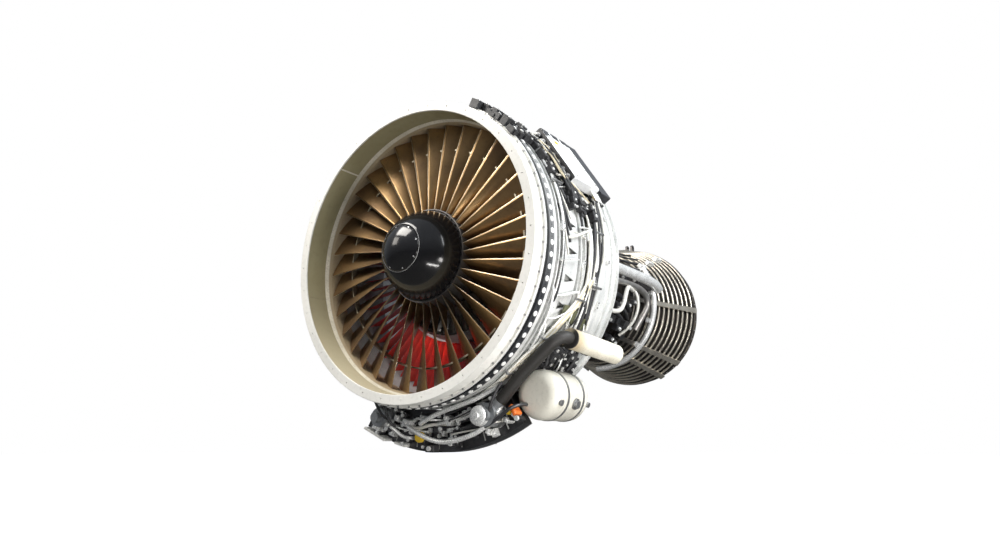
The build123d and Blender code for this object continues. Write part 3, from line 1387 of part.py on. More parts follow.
# Bleed duct along the core, from the frame's rear wall to the combustor case's flange
with BuildPart() as bleed_duct:
    with BuildLine() as bleed_path:
        FilletPolyline(
            (560, FRAME_END_Y, 200),
            (560, 1700, 200),
            (520, 2000, 60),
            (500, CORE_CASE_END_Y - 60, 20),
            (412, CORE_CASE_END_Y - FLANGE_T, 16),
            radius=60,
        )
    with BuildSketch(bleed_path.line ^ 0):
        Circle(BLEED_R)
    sweep()
    split(bisect_by=Plane.XZ.offset(-CORE_CASE_END_Y + FLANGE_T), keep=Keep.TOP)
save(bleed_duct.part, "bleed_duct")

# Vane rings around the compressor, joined by a bar with the lug that the actuator turns
RING_YS = PAD_YS
with BuildPart() as vane_rings:
    rings(*[(UNISON_R, UNISON_R + UNISON_T, ring_y - 6, ring_y + 6) for ring_y in RING_YS])
    with BuildSketch(Plane.XY):
        with Locations((UNISON_R + UNISON_T + 6, (RING_YS[0] + ACTUATOR_Y) / 2)):
            Rectangle(18, ACTUATOR_Y - RING_YS[0] + 24)
    extrude(amount=10, both=True)
    with BuildSketch(Plane.XY):
        with Locations(((UNISON_R + ACTUATOR_R) / 2 + 8, ACTUATOR_Y)):
            Rectangle(ACTUATOR_R - UNISON_R, 8)
    extrude(amount=10, both=True)
    with BuildSketch(station(ACTUATOR_Y - 24)):
        with Locations((ACTUATOR_R, 0)):
            Circle(PIN_R)
    extrude(amount=-24)
save(vane_rings.part, "vane_rings")

# Actuator of the vane rings: a rod with an eye, in a body on the case's rear flange
with BuildPart() as actuator_rod:
    with BuildSketch(station(ACTUATOR_Y - 20)):
        with Locations((ACTUATOR_R, 0)):
            Circle(PIN_R + 12)
            Circle(PIN_R + 3, mode=Mode.SUBTRACT)
    extrude(amount=-14)
    with Locations((ACTUATOR_R, ACTUATOR_Y - 13, -PIN_R - 8)):
        Cylinder(ROD_R - 5, ROD_L, align=(Align.CENTER, Align.CENTER, Align.MAX))
save(actuator_rod.part, "actuator_rod")
with BuildPart() as vane_actuator:
    with Locations((ACTUATOR_R, ACTUATOR_Y - 13, -PIN_R - 8 - ROD_TRAVEL - 20)):
        Cylinder(ROD_R + 12, ROD_L + 20, align=(Align.CENTER, Align.CENTER, Align.MAX))
        Cylinder(
            ROD_R - 5 + RUN, 2 * ROD_L, align=(Align.CENTER, Align.CENTER, Align.CENTER), mode=Mode.SUBTRACT
        )
    with Locations((ACTUATOR_R - 20, (FRAME_END_Y + ACTUATOR_Y) / 2, -PIN_R - 140)):
        Box(14, ACTUATOR_Y - FRAME_END_Y, 40)
save(vane_actuator.part, "vane_actuator")
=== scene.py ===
# %% [markdown]
# # A turbofan engine, dressed around its imported solids
# The imported model is a fixed frame: its solids keep their places, and this
# lesson gives them finishes and adds the small things that a solid model
# leaves out. The frame is loaded first.

# %% Load the frame
import random
from math import cos, pi, radians, sin

import bmesh
import bpy
from mathutils import Matrix, Vector


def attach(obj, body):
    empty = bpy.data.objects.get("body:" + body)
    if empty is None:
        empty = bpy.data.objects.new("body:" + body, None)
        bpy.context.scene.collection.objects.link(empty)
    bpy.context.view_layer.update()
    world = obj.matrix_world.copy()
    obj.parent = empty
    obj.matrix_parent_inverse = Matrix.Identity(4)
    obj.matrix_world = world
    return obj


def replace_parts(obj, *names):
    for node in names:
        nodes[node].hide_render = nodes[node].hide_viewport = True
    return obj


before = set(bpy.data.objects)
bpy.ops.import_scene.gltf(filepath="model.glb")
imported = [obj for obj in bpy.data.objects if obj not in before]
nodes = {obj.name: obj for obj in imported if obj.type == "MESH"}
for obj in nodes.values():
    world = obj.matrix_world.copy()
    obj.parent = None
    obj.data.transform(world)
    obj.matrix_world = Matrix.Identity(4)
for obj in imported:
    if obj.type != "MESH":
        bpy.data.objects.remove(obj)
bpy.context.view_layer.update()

# %% [markdown]
# ## Camera
# The photograph looks up into the inlet from low on the right-hand side.
# Turning a direction into a rotation with to_track_quat keeps the horizon
# level.

# %% Place the camera
CAMERA_PLACE = Vector((4.129, -4.544, -1.570))
CAMERA_LOOK = Vector((-0.5587, 0.8020, 0.2113))
CAMERA_LENS = 27.26
CAMERA_SENSOR = 36

camera_data = bpy.data.cameras.new("camera")
camera_data.lens = CAMERA_LENS
camera_data.sensor_width = CAMERA_SENSOR
camera_data.sensor_fit = "HORIZONTAL"
camera = bpy.data.objects.new("camera", camera_data)
bpy.context.scene.collection.objects.link(camera)
camera.location = CAMERA_PLACE
camera.rotation_mode = "QUATERNION"
camera.rotation_quaternion = CAMERA_LOOK.to_track_quat("-Z", "Y")
bpy.context.scene.camera = camera
print("camera at", tuple(camera.location))

# %% [markdown]
# ## Helpers for shader nodes
# A shader tree is made of small nodes joined by links. Each helper adds one
# node and gives back its output socket, so that a mask can be written like a
# formula.

# %% Write the node helpers
RANGE_SOCKETS = ("From Min", "From Max", "To Min", "To Max")


def feed(tree, socket, amount):
    """Links another socket to a socket, or sets it to a plain value."""
    if isinstance(amount, bpy.types.NodeSocket):
        tree.links.new(amount, socket)
    else:
        socket.default_value = amount


def mix_colour(tree, factor, first, second):
    """A mix of two colours by a factor, as one node."""
    node = tree.nodes.new("ShaderNodeMix")
    node.data_type = "RGBA"
    for key, amount in (("Factor", factor), (6, first), (7, second)):
        feed(tree, node.inputs[key], amount)
    return node.outputs[2]


def scaled_noise(tree, vector, scale, detail):
    """Noise on a vector, with a number or a socket for its scale."""
    node = tree.nodes.new("ShaderNodeTexNoise")
    for label, amount in (("Vector", vector), ("Scale", scale), ("Detail", detail)):
        feed(tree, node.inputs[label], amount)
    return node.outputs["Fac"]


def remap(tree, value, low, high, to_low, to_high):
    """A value's range moved to another range, held at its ends."""
    node = tree.nodes.new("ShaderNodeMapRange")
    feed(tree, node.inputs["Value"], value)
    for label, amount in zip(RANGE_SOCKETS, (low, high, to_low, to_high)):
        feed(tree, node.inputs[label], amount)
    return node.outputs["Result"]


def combine(tree, operation, first, second):
    """One math node on two values, either of which may be a number."""
    node = tree.nodes.new("ShaderNodeMath")
    node.operation = operation
    for socket, amount in zip(node.inputs, (first, second)):
        feed(tree, socket, amount)
    return node.outputs[0]


print("node helpers ready")

# %% [markdown]
# ## Background
# The engine hangs in a bright hall. As a light, the world is dim below and
# brighter above, so that undersides stay dark. To the camera it is plain
# white.

# %% Build the world
WHITE = (1, 1, 1, 1)
HALL_TINT = (0.86, 0.92, 1.0, 1.0)
HALL_HEIGHTS = (-0.25, 0.6)
HALL_STRENGTHS = (0.02, 0.55)

scene = bpy.context.scene
scene.view_settings.view_transform = "Standard"
world = bpy.data.worlds.new("hall")
scene.world = world
world.use_nodes = True
hall = world.node_tree
hall.nodes.clear()
hall_out = hall.nodes.new("ShaderNodeOutputWorld")
hall_light = hall.nodes.new("ShaderNodeBackground")
hall_light.inputs["Color"].default_value = HALL_TINT
hall_white = hall.nodes.new("ShaderNodeBackground")
hall_white.inputs["Color"].default_value = WHITE
hall_seen = hall.nodes.new("ShaderNodeLightPath")
hall_way = hall.nodes.new("ShaderNodeTexCoord")
hall_split = hall.nodes.new("ShaderNodeSeparateXYZ")
hall.links.new(hall_way.outputs["Generated"], hall_split.inputs[0])
hall_strength = remap(hall, hall_split.outputs["Z"], *HALL_HEIGHTS, *HALL_STRENGTHS)
hall.links.new(hall_strength, hall_light.inputs["Strength"])
hall_mix = hall.nodes.new("ShaderNodeMixShader")
hall.links.new(hall_seen.outputs["Is Camera Ray"], hall_mix.inputs["Fac"])
hall.links.new(hall_light.outputs[0], hall_mix.inputs[1])
hall.links.new(hall_white.outputs[0], hall_mix.inputs[2])
hall.links.new(hall_mix.outputs[0], hall_out.inputs["Surface"])
print("world nodes", len(hall.nodes))

# %% [markdown]
# ## Lamps
# Large area lamps give soft light with a broad highlight on the glossy
# spinner. Two small ones lift the shade in the bypass duct and in front of
# the gearbox.

# %% Place the lamps
# name, place, target, width, height, power, colour
LAMPS = (
    ("roof_lamp", (-2.0, -3.2, 4.9), (0, 0.2, 0), 4.0, 2.4, 540, (1.0, 0.96, 0.9)),
    ("front_lamp", (-4.4, -4.8, 3.2), (0, 0.2, 0), 2.2, 2.2, 110, (1.0, 0.95, 0.87)),
    ("side_lamp", (6.4, 1.2, 3.0), (0.8, 1.6, 0), 4.0, 3.0, 640, (0.95, 0.98, 1.0)),
    ("low_lamp", (5.0, 0.0, -2.0), (0.6, 0.8, -1.3), 2.5, 1.2, 170, (1.0, 0.97, 0.94)),
    ("duct_lamp", (-0.25, 0.60, -0.72), (-0.42, 1.0, -1.02), 0.5, 0.3, 2.2, (1.0, 0.96, 0.92)),
    ("gearbox_lamp", (2.6, -1.2, -2.15), (-0.2, 0.4, -1.55), 1.6, 0.3, 60, (1.0, 0.98, 0.95)),
)
for name, place, target, width, height, power, colour in LAMPS:
    data = bpy.data.lights.new(name, "AREA")
    data.shape = "RECTANGLE"
    data.size = width
    data.size_y = height
    data.energy = power
    data.color = colour
    lamp = bpy.data.objects.new(name, data)
    scene.collection.objects.link(lamp)
    lamp.location = place
    lamp.rotation_mode = "QUATERNION"
    lamp.rotation_quaternion = (Vector(target) - Vector(place)).to_track_quat("-Z", "Y")
bpy.data.objects["duct_lamp"].visible_camera = False
print("lamps", len(bpy.data.lights))

# %% [markdown]
# ## Floor
# The floor catches a soft shadow well under the engine, which hangs from a
# stand or a pylon. It is dark to all but the camera, and throws no light up.

# %% Make the floor
FLOOR_Z = -2.2
FLOOR_HALF = 40
FLOOR_DARK = (0.1, 0.1, 0.1, 1)
FLOOR_ROUGHNESS = 0.8
FLOOR_GLOW = 0.62


def empty_object(name):
    """A new mesh object at the origin, linked to the scene."""
    item = bpy.data.objects.new(name, bpy.data.meshes.new(name))
    scene.collection.objects.link(item)
    return item


floor = empty_object("floor")
form = bmesh.new()
bmesh.ops.create_grid(form, x_segments=1, y_segments=1, size=FLOOR_HALF)
bmesh.ops.translate(form, verts=form.verts, vec=(0, 0, FLOOR_Z))
form.to_mesh(floor.data)
form.free()
floor_paint = bpy.data.materials.new("floor_paint")
floor_paint.use_nodes = True
floor_tree = floor_paint.node_tree
floor_shader = floor_tree.nodes["Principled BSDF"]
floor_seen = floor_tree.nodes.new("ShaderNodeLightPath").outputs["Is Camera Ray"]
for label, amount in (
    ("Roughness", FLOOR_ROUGHNESS),
    ("Base Color", mix_colour(floor_tree, floor_seen, FLOOR_DARK, WHITE)),
    ("Emission Color", WHITE),
    ("Emission Strength", combine(floor_tree, "MULTIPLY", floor_seen, FLOOR_GLOW)),
):
    feed(floor_tree, floor_shader.inputs[label], amount)
floor.data.materials.append(floor_paint)
print("floor at", FLOOR_Z)

# %% [markdown]
# ## Shared effects
# Paint, bare metal and cast parts all vary slowly in tone, gather dirt and
# differ in gloss from place to place. One node group does that for every
# finish: a large noise mixes two colours, and a fine one adds specks, gloss
# and relief.


# %% Build the patina group
COLOUR = "NodeSocketColor"
VALUE = "NodeSocketFloat"
VECTOR = "NodeSocketVector"
PATINA_INPUTS = (
    ("Base", COLOUR), ("Second", COLOUR), ("Dirt", COLOUR), ("Scale", VALUE),
    ("Dirt Amount", VALUE), ("Rough Low", VALUE), ("Rough High", VALUE), ("Stretch", VECTOR),
)
FINE_RATIO = 14.0

patina = bpy.data.node_groups.new("patina", "ShaderNodeTree")
for label, kind in PATINA_INPUTS:
    patina.interface.new_socket(name=label, in_out="INPUT", socket_type=kind)
for label, kind in (("Color", COLOUR), ("Roughness", VALUE), ("Height", VALUE)):
    patina.interface.new_socket(name=label, in_out="OUTPUT", socket_type=kind)
group_in = patina.nodes.new("NodeGroupInput")
group_out = patina.nodes.new("NodeGroupOutput")
place = patina.nodes.new("ShaderNodeTexCoord")
stretch = patina.nodes.new("ShaderNodeVectorMath")
stretch.operation = "MULTIPLY"
patina.links.new(place.outputs["Object"], stretch.inputs[0])
patina.links.new(group_in.outputs["Stretch"], stretch.inputs[1])
broad = scaled_noise(patina, stretch.outputs[0], group_in.outputs["Scale"], 4)
fine_scale = combine(patina, "MULTIPLY", group_in.outputs["Scale"], FINE_RATIO)
fine = scaled_noise(patina, stretch.outputs[0], fine_scale, 3)
patches = remap(patina, broad, 0.35, 0.65, 0, 1)
tone = mix_colour(patina, patches, group_in.outputs["Base"], group_in.outputs["Second"])
specks = remap(patina, fine, 0.52, 0.75, 0, group_in.outputs["Dirt Amount"])
gloss = remap(patina, fine, 0.3, 0.7, group_in.outputs["Rough Low"], group_in.outputs["Rough High"])
soiled = mix_colour(patina, specks, tone, group_in.outputs["Dirt"])
for label, source in (("Color", soiled), ("Roughness", gloss), ("Height", fine)):
    patina.links.new(source, group_out.inputs[label])
print("patina group", len(patina.nodes), "nodes")

# %% [markdown]
# ## Finishes from one recipe
# A finish is a Principled shader fed by the patina group. Stretching the
# noise along one axis turns it into brushed or streaked metal.

# %% Write the finish recipe
DIRT_COLOUR = (0.05, 0.045, 0.035, 1)
BUMP_DEPTH = 0.002


def finish(
    name, base, second, scale, dirt, rough, metal=0.0, bump=0.1, stretch=(1, 1, 1), coat=0.0
):
    """A Principled material whose colour, roughness and bump come from the patina group."""
    material = bpy.data.materials.new(name)
    material.use_nodes = True
    tree = material.node_tree
    shader = tree.nodes["Principled BSDF"]
    layer = tree.nodes.new("ShaderNodeGroup")
    layer.node_tree = patina
    values = ((*base, 1), (*second, 1), DIRT_COLOUR, scale, dirt, *rough, stretch)
    for (label, _), amount in zip(PATINA_INPUTS, values):
        layer.inputs[label].default_value = amount
    relief = tree.nodes.new("ShaderNodeBump")
    relief.inputs["Strength"].default_value = bump
    relief.inputs["Distance"].default_value = BUMP_DEPTH
    tree.links.new(layer.outputs["Height"], relief.inputs["Height"])
    for label, amount in (
        ("Base Color", layer.outputs["Color"]), ("Roughness", layer.outputs["Roughness"]),
        ("Normal", relief.outputs["Normal"]), ("Metallic", metal), ("Coat Weight", coat),
    ):
        feed(tree, shader.inputs[label], amount)
    return material


print("finish recipe ready")

# %% [markdown]
# ## The list of finishes
# Each line is one finish: two colours, patch size, dirt and gloss, then
# metal, bump, stretch and clear coat where they differ from the recipe's.

# %% Mix the finishes
FINISHES = {
    "white_paint": ((0.78, 0.77, 0.73), (0.7, 0.69, 0.65), 2.0, 0.12, (0.3, 0.45)),
    "cream_seal": ((0.74, 0.7, 0.58), (0.6, 0.56, 0.45), 5.0, 0.3, (0.55, 0.75), 0.0, 0.4),
    "silver_case": (
        (0.82, 0.82, 0.8), (0.62, 0.63, 0.62), 5.0, 0.35, (0.3, 0.5), 0.35, 0.2, (1, 3, 1)
    ),
    "grey_case": ((0.36, 0.37, 0.38), (0.27, 0.28, 0.29), 4.0, 0.3, (0.35, 0.55), 0.7, 0.2),
    "bolt_steel": ((0.42, 0.42, 0.42), (0.3, 0.3, 0.3), 30.0, 0.3, (0.3, 0.5), 0.9),
    "grey_liner": ((0.36, 0.37, 0.36), (0.28, 0.29, 0.29), 5.0, 0.3, (0.5, 0.7)),
    "red_vane": ((0.75, 0.035, 0.015), (0.55, 0.025, 0.012), 6.0, 0.25, (0.35, 0.5)),
    "steel_vane": ((0.5, 0.49, 0.47), (0.4, 0.38, 0.36), 8.0, 0.2, (0.3, 0.45), 0.85),
    "forged": ((0.2, 0.19, 0.18), (0.13, 0.12, 0.12), 8.0, 0.3, (0.35, 0.55), 0.8),
    "spinner_black": (
        (0.006, 0.006, 0.007), (0.009, 0.009, 0.01), 3.0, 0.04, (0.12, 0.2), 0.0, 0.02,
        (1, 1, 1), 0.25,
    ),
    "bearing": ((0.6, 0.6, 0.6), (0.5, 0.5, 0.5), 20.0, 0.1, (0.15, 0.3), 1.0),
    "hot_metal": (
        (0.3, 0.26, 0.21), (0.16, 0.15, 0.15), 6.0, 0.35, (0.3, 0.5), 0.85, 0.25, (1, 2, 1)
    ),
    "tube_metal": ((0.8, 0.74, 0.62), (0.5, 0.46, 0.4), 7.0, 0.3, (0.25, 0.4), 0.85),
    "dark_metal": ((0.06, 0.052, 0.045), (0.03, 0.028, 0.026), 6.0, 0.3, (0.35, 0.5), 0.7, 0.25),
    "cast_light": ((0.46, 0.46, 0.44), (0.36, 0.36, 0.35), 9.0, 0.3, (0.45, 0.65), 0.5, 0.5),
    "dark_unit": ((0.035, 0.036, 0.04), (0.055, 0.055, 0.06), 7.0, 0.2, (0.35, 0.5), 0.2, 0.2),
    "duct_finish": ((0.8, 0.76, 0.64), (0.7, 0.66, 0.54), 6.0, 0.35, (0.5, 0.7), 0.0, 0.5),
    "cream_tank": ((0.66, 0.64, 0.56), (0.56, 0.54, 0.47), 3.0, 0.15, (0.3, 0.45)),
    "olive_liner": ((0.33, 0.3, 0.18), (0.28, 0.25, 0.145), 1.2, 0.12, (0.4, 0.55), 0.0, 0.15),
    "blade_titanium": ((0.36, 0.225, 0.1), (0.2, 0.125, 0.065), 2.5, 0.2, (0.3, 0.42), 0.8),
    "link_titanium": ((0.42, 0.37, 0.28), (0.3, 0.26, 0.19), 12.0, 0.25, (0.3, 0.45), 0.7),
    "dark_steel": ((0.10, 0.10, 0.105), (0.05, 0.05, 0.052), 9.0, 0.3, (0.3, 0.45), 0.8, 0.15),
    "bright_steel": ((0.9, 0.9, 0.88), (0.74, 0.74, 0.72), 9.0, 0.2, (0.22, 0.36), 0.45, 0.02),
    "unit_finish": ((0.85, 0.86, 0.86), (0.74, 0.75, 0.76), 4.0, 0.25, (0.3, 0.45), 0.1, 0.15),
    "bright_screw": ((0.75, 0.75, 0.74), (0.6, 0.6, 0.6), 60.0, 0.2, (0.25, 0.4), 0.6),
    "bead_grey": ((0.5, 0.5, 0.5), (0.4, 0.4, 0.4), 20.0, 0.2, (0.4, 0.6)),
    "hole_bright": ((0.85, 0.85, 0.83), (0.75, 0.75, 0.73), 20.0, 0.1, (0.4, 0.5)),
    "black_hose": ((0.018, 0.018, 0.02), (0.03, 0.03, 0.032), 40.0, 0.2, (0.45, 0.65), 0.0, 0.4),
    "white_cable": ((0.72, 0.71, 0.66), (0.6, 0.58, 0.52), 50.0, 0.25, (0.45, 0.6), 0.0, 0.2),
    "cream_cable": ((0.62, 0.55, 0.38), (0.5, 0.43, 0.3), 50.0, 0.3, (0.45, 0.6), 0.0, 0.2),
    "yellow_cap": ((0.75, 0.5, 0.03), (0.65, 0.42, 0.03), 30.0, 0.1, (0.3, 0.4)),
    "olive_paint": ((0.14, 0.145, 0.075), (0.09, 0.095, 0.05), 20.0, 0.3, (0.4, 0.55)),
    "orange_tag": ((0.75, 0.16, 0.02), (0.65, 0.13, 0.02), 30.0, 0.15, (0.4, 0.5)),
}
# The fan case gets its own copy of the silver finish, which carries painted shade.
FINISHES["shaded_ring_case"] = FINISHES["silver_case"]
SPINNER_SPECULAR = 0.3
paint = {name: finish(name, *values) for name, values in FINISHES.items()}
spinner_shader = paint["spinner_black"].node_tree.nodes["Principled BSDF"]
spinner_shader.inputs["Specular IOR Level"].default_value = SPINNER_SPECULAR
print("finishes", len(paint))

# %% [markdown]
# ## Tints that follow the engine
# The angle around the engine comes from the arc tangent of the object
# coordinates, and the station and height are two of them. A ramp on one of
# these is a mask that mixes another colour in.

# %% Write the tint helpers
ANGLE, STATION, HEIGHT = 0, 1, 2


def polar(tree):
    """The angle about the engine's axis in degrees, the station and the height, as sockets."""
    place = tree.nodes.new("ShaderNodeTexCoord")
    split = tree.nodes.new("ShaderNodeSeparateXYZ")
    tree.links.new(place.outputs["Object"], split.inputs[0])
    x, y, z = split.outputs
    return combine(tree, "MULTIPLY", combine(tree, "ARCTAN2", z, x), 180 / pi), y, z


def tint(name, mask, colour):
    """Mixes a colour into a finish's base colour where a mask is 1."""
    tree = paint[name].node_tree
    shader = tree.nodes["Principled BSDF"]
    before = shader.inputs["Base Color"].links[0].from_socket
    patch = tree.nodes.new("ShaderNodeRGB")
    patch.outputs[0].default_value = (*colour, 1)
    tree.links.new(mix_colour(tree, mask, before, patch.outputs[0]), shader.inputs["Base Color"])


def tint_where(name, colour, *ramps):
    """Tints a finish by one ramp on its station or height, or by the product of several."""
    tree = paint[name].node_tree
    coordinates = polar(tree)
    masks = [remap(tree, coordinates[axis], *limits) for axis, *limits in ramps]
    mask = masks[0]
    for other in masks[1:]:
        mask = combine(tree, "MULTIPLY", mask, other)
    tint(name, mask, colour)


print("tint helpers ready")

# %% [markdown]
# ## Lining, seal, duct, tubes and case
# The lining is olive above and a lighter tan towards the bottom, with one pale
# splice, and the tip seal turns brown aft of a thin pale front band. The
# starter duct's white lagging has a tan stain near its front end, and the bare
# elbow past it is near-black painted shade. The case has painted shade:
# near-black over its ring of holes, more so lower down, and dark on its top.

# %% Tint the finishes
SPLICE_ANGLE = 133.0
SPLICE_HALF = 0.35
UNIT_DARK_WAY = (-0.55, -1.0, 0.85)

# The lining turns a lighter tan towards the bottom.
tint_where("olive_liner", (0.62, 0.56, 0.4), (HEIGHT, -0.1, -1.15, 0, 0.85))
liner_tree = paint["olive_liner"].node_tree
splice = combine(liner_tree, "COMPARE", polar(liner_tree)[ANGLE], SPLICE_ANGLE)
splice.node.inputs[2].default_value = SPLICE_HALF
tint("olive_liner", splice, (0.75, 0.72, 0.6))
# The seal turns brown aft of a thin pale front band.
tint_where("cream_seal", (0.3, 0.22, 0.12), (STATION, 0.258, 0.268, 0, 0.85))
tint_where("duct_finish", (0.42, 0.33, 0.19), (STATION, 0.70, 0.585, 0, 0.8))
# Painted shade: the elbow past the lagging is near-black.
tint_where("duct_finish", (0.02, 0.018, 0.016), (STATION, 0.556, 0.548, 0, 1))
tint_where("tube_metal", (0.07, 0.065, 0.06), (STATION, 3.40, 3.34, 0, 0.85))
# Painted shade: near-black over the ring of holes, more so lower down.
tint_where(
    "shaded_ring_case", (0.035, 0.037, 0.042),
    (STATION, 0.169, 0.171, 0, 1), (STATION, 0.247, 0.245, 0, 1), (HEIGHT, 0.6, -0.5, 0.55, 1),
)
# Painted shade on the case's top.
tint_where(
    "shaded_ring_case", (0.045, 0.047, 0.05),
    (HEIGHT, 0.86, 0.98, 0, 0.85), (STATION, 0.56, 0.50, 0, 1), (STATION, 0.02, 0.10, 0, 1),
)
# Faces turned forward, left and up are darkened by their direction.
unit_tree = paint["unit_finish"].node_tree
unit_normal = unit_tree.nodes.new("ShaderNodeTexCoord")
unit_front = unit_tree.nodes.new("ShaderNodeVectorMath")
unit_front.operation = "DOT_PRODUCT"
unit_front.inputs[1].default_value = UNIT_DARK_WAY
unit_tree.links.new(unit_normal.outputs["Normal"], unit_front.inputs[0])
unit_mask = remap(unit_tree, unit_front.outputs["Value"], 0.55, 0.65, 0, 1)
tint("unit_finish", unit_mask, (0.018, 0.018, 0.02))
print("finishes tinted")

# %% [markdown]
# ## Blade titanium
# The blades are warm grey-gold metal with a pale leading edge, partly sand
# wear and partly a painted highlight. Their UV map tells the shader how far a
# point lies behind it.

# %% Wear the blades' edge and paint its highlight
EDGE_WEAR_AND_HIGHLIGHT = (0.014, 0.008, 0, 0.8)
blade_tree = paint["blade_titanium"].node_tree
skin_map = blade_tree.nodes.new("ShaderNodeUVMap")
skin_map.uv_map = "UVMap"
skin_split = blade_tree.nodes.new("ShaderNodeSeparateXYZ")
blade_tree.links.new(skin_map.outputs[0], skin_split.inputs[0])
# The pale band along the leading edge is sand wear and a painted highlight.
erosion_and_highlight = remap(blade_tree, skin_split.outputs[0], *EDGE_WEAR_AND_HIGHLIGHT)
tint("blade_titanium", erosion_and_highlight, (0.7, 0.62, 0.48))
print("blade edge worn")

# %% [markdown]
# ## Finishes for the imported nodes
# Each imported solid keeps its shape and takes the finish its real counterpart
# has.

# %% Give every node its finish
NODE_FINISHES = {
    "white_paint": "inlet_ring",
    "olive_liner": "inlet_liner",
    "cream_seal": "tip_seal",
    "shaded_ring_case": "fan_case",
    "silver_case": "bypass_case fan_frame bleed_duct",
    "bolt_steel": "case_bolts fuel_nozzles",
    "grey_liner": "duct_liner",
    "red_vane": "outlet_guide_vanes",
    "grey_case": "splitter_case compressor_case_lower compressor_case_upper rear_cover fuel_pump"
                 " generator starter vane_rings vane_actuator",
    "steel_vane": "booster_vanes booster_rotor compressor_rotor compressor_vanes",
    "blade_titanium": "fan_blades",
    "forged": "fan_disk lp_shaft forward_mount aft_mount radial_shaft fuel_pump_gear"
              " hydraulic_pump_gear drive_shaft generator_gear starter_gear",
    "spinner_black": "spinner_cone spinner_cap",
    "bearing": "fan_bearing core_bearing rear_bearing actuator_rod",
    "dark_metal": "combustor_case lp_turbine_case",
    "hot_metal": "combustor_liner turbine_nozzle core_turbine_rotor lp_turbine_rotor"
                 " lp_turbine_vanes turbine_rear_frame",
    "tube_metal": "fuel_manifold cooling_tubes case_pipes",
    "dark_steel": "gearbox_housing",
    "cast_light": "gearbox_cover transfer_housing hydraulic_pump",
    "duct_finish": "starter_duct",
    "cream_tank": "oil_tank",
    "unit_finish": "control_unit",
    "dark_unit": "junction_box",
}
finished = set()
for material, names in NODE_FINISHES.items():
    for name in names.split():
        node = nodes[name]
        if not node.material_slots:
            node.data.materials.append(paint[material])
        for slot in node.material_slots:
            slot.material = paint[material]
        finished.add(name)
print("nodes without a finish:", sorted(set(nodes) - finished))

# %% [markdown]
# ## From a bmesh to a piece
# Every new piece is built in a bmesh, turned into a mesh object, given a
# finish, and told which body it rides on.

# %% Write the helpers for pieces
def dress(item, material, slot, body="engine_frame", smooth=False):
    """Gives an object its finish and the body it rides on; its slot is not used."""
    item.data.materials.append(paint[material])
    if smooth:
        for face in item.data.polygons:
            face.use_smooth = True
    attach(item, body)
    return item


def keep(name, form, *dressing):
    """Turns a finished bmesh into a dressed piece."""
    item = empty_object(name)
    bmesh.ops.recalc_face_normals(form, faces=form.faces)
    form.to_mesh(item.data)
    form.free()
    return dress(item, *dressing)


def turn_about_axis(form, verts, angle):
    """Turns vertices about the engine's axis by an angle in degrees."""
    matrix = Matrix.Rotation(radians(-angle), 3, "Y")
    bmesh.ops.rotate(form, verts=verts, cent=(0, 0, 0), matrix=matrix)


def spin(form, geometry, turn, steps, **options):
    """Spins geometry about the Y axis by an angle in radians."""
    bmesh.ops.spin(
        form, geom=geometry, cent=(0, 0, 0), axis=(0, 1, 0), angle=turn, steps=steps, **options
    )


def repeat_round(form, count):
    """Copies what is in a bmesh evenly about the engine's axis."""
    geometry = form.verts[:] + form.edges[:] + form.faces[:]
    spin(form, geometry, 2 * pi * (count - 1) / count, count - 1, use_duplicate=True)


print("piece helpers ready")

# %% [markdown]
# ## Fan blades
# A blade is a twisted titanium airfoil. A loft with flat facets looks coarse
# up close, so each blade here is a fine, smooth skin between the same
# sections, shaped from a grid and repeated round the axis. Its UV map runs
# from the leading edge aft and from hub to tip.

# %% Shape one blade and spin it
BLADES = 36
BLADE_FIRST = -6.5
HUB_R = 0.404
TIP_R = 1.176
# radius, leading edge angle and station, chord, stagger, thickness, camber
BLADE_SECTIONS = (
    (0.404, 4.0, 0.263, 0.224, 13, 0.020, 0.013),
    (0.560, 5.6, 0.268, 0.240, 28, 0.016, 0.014),
    (0.720, 6.6, 0.274, 0.254, 40, 0.012, 0.012),
    (0.880, 7.2, 0.281, 0.268, 50, 0.009, 0.010),
    (1.178, 8.0, 0.295, 0.290, 61, 0.005, 0.0045),
)
CHORD_STEPS = 14
SPAN_STEPS = 26


def section_at(radius):
    """The blade's section values at a radius, between the listed ones."""
    for low, high in zip(BLADE_SECTIONS, BLADE_SECTIONS[1:]):
        if radius <= high[0]:
            share = (radius - low[0]) / (high[0] - low[0])
            return [a + (b - a) * share for a, b in zip(low, high)]
    return list(BLADE_SECTIONS[-1])


def blade_point(radius, chord_share, side):
    """A point on a blade's skin: side is +1 or -1, chord_share runs from the leading edge aft."""
    _, lead_angle, lead_y, chord, stagger, thickness, camber = section_at(radius)
    along = Vector((-sin(radians(stagger)), -cos(radians(stagger))))
    across = Vector((along.y, -along.x))
    bulge = 4 * chord_share * (1 - chord_share)
    lead = Vector((radius * sin(radians(lead_angle)), -lead_y))
    spot = lead + along * chord * chord_share + across * bulge * (camber + side * thickness / 2)
    reach = (max(radius**2 - spot.x**2, 0)) ** 0.5
    return Vector((reach, -spot.y, spot.x))


def blade_skin(form):
    """Turns a grid's corners into the blade's two skins, joined at both edges."""
    uv = form.loops.layers.uv.new("UVMap")
    bmesh.ops.create_grid(form, x_segments=2 * CHORD_STEPS, y_segments=SPAN_STEPS, size=0.5)
    shares = {}
    for vert in form.verts:
        turn = (vert.co.x + 0.5) * 2
        span = vert.co.y + 0.5
        shares[vert] = (1 - abs(1 - turn), span)
        share = turn if turn <= 1 else 2 - turn
        vert.co = blade_point(HUB_R + (TIP_R - HUB_R) * span, share, 1 if turn <= 1 else -1)
    for face in form.faces:
        for loop in face.loops:
            loop[uv].uv = shares[loop.vert]


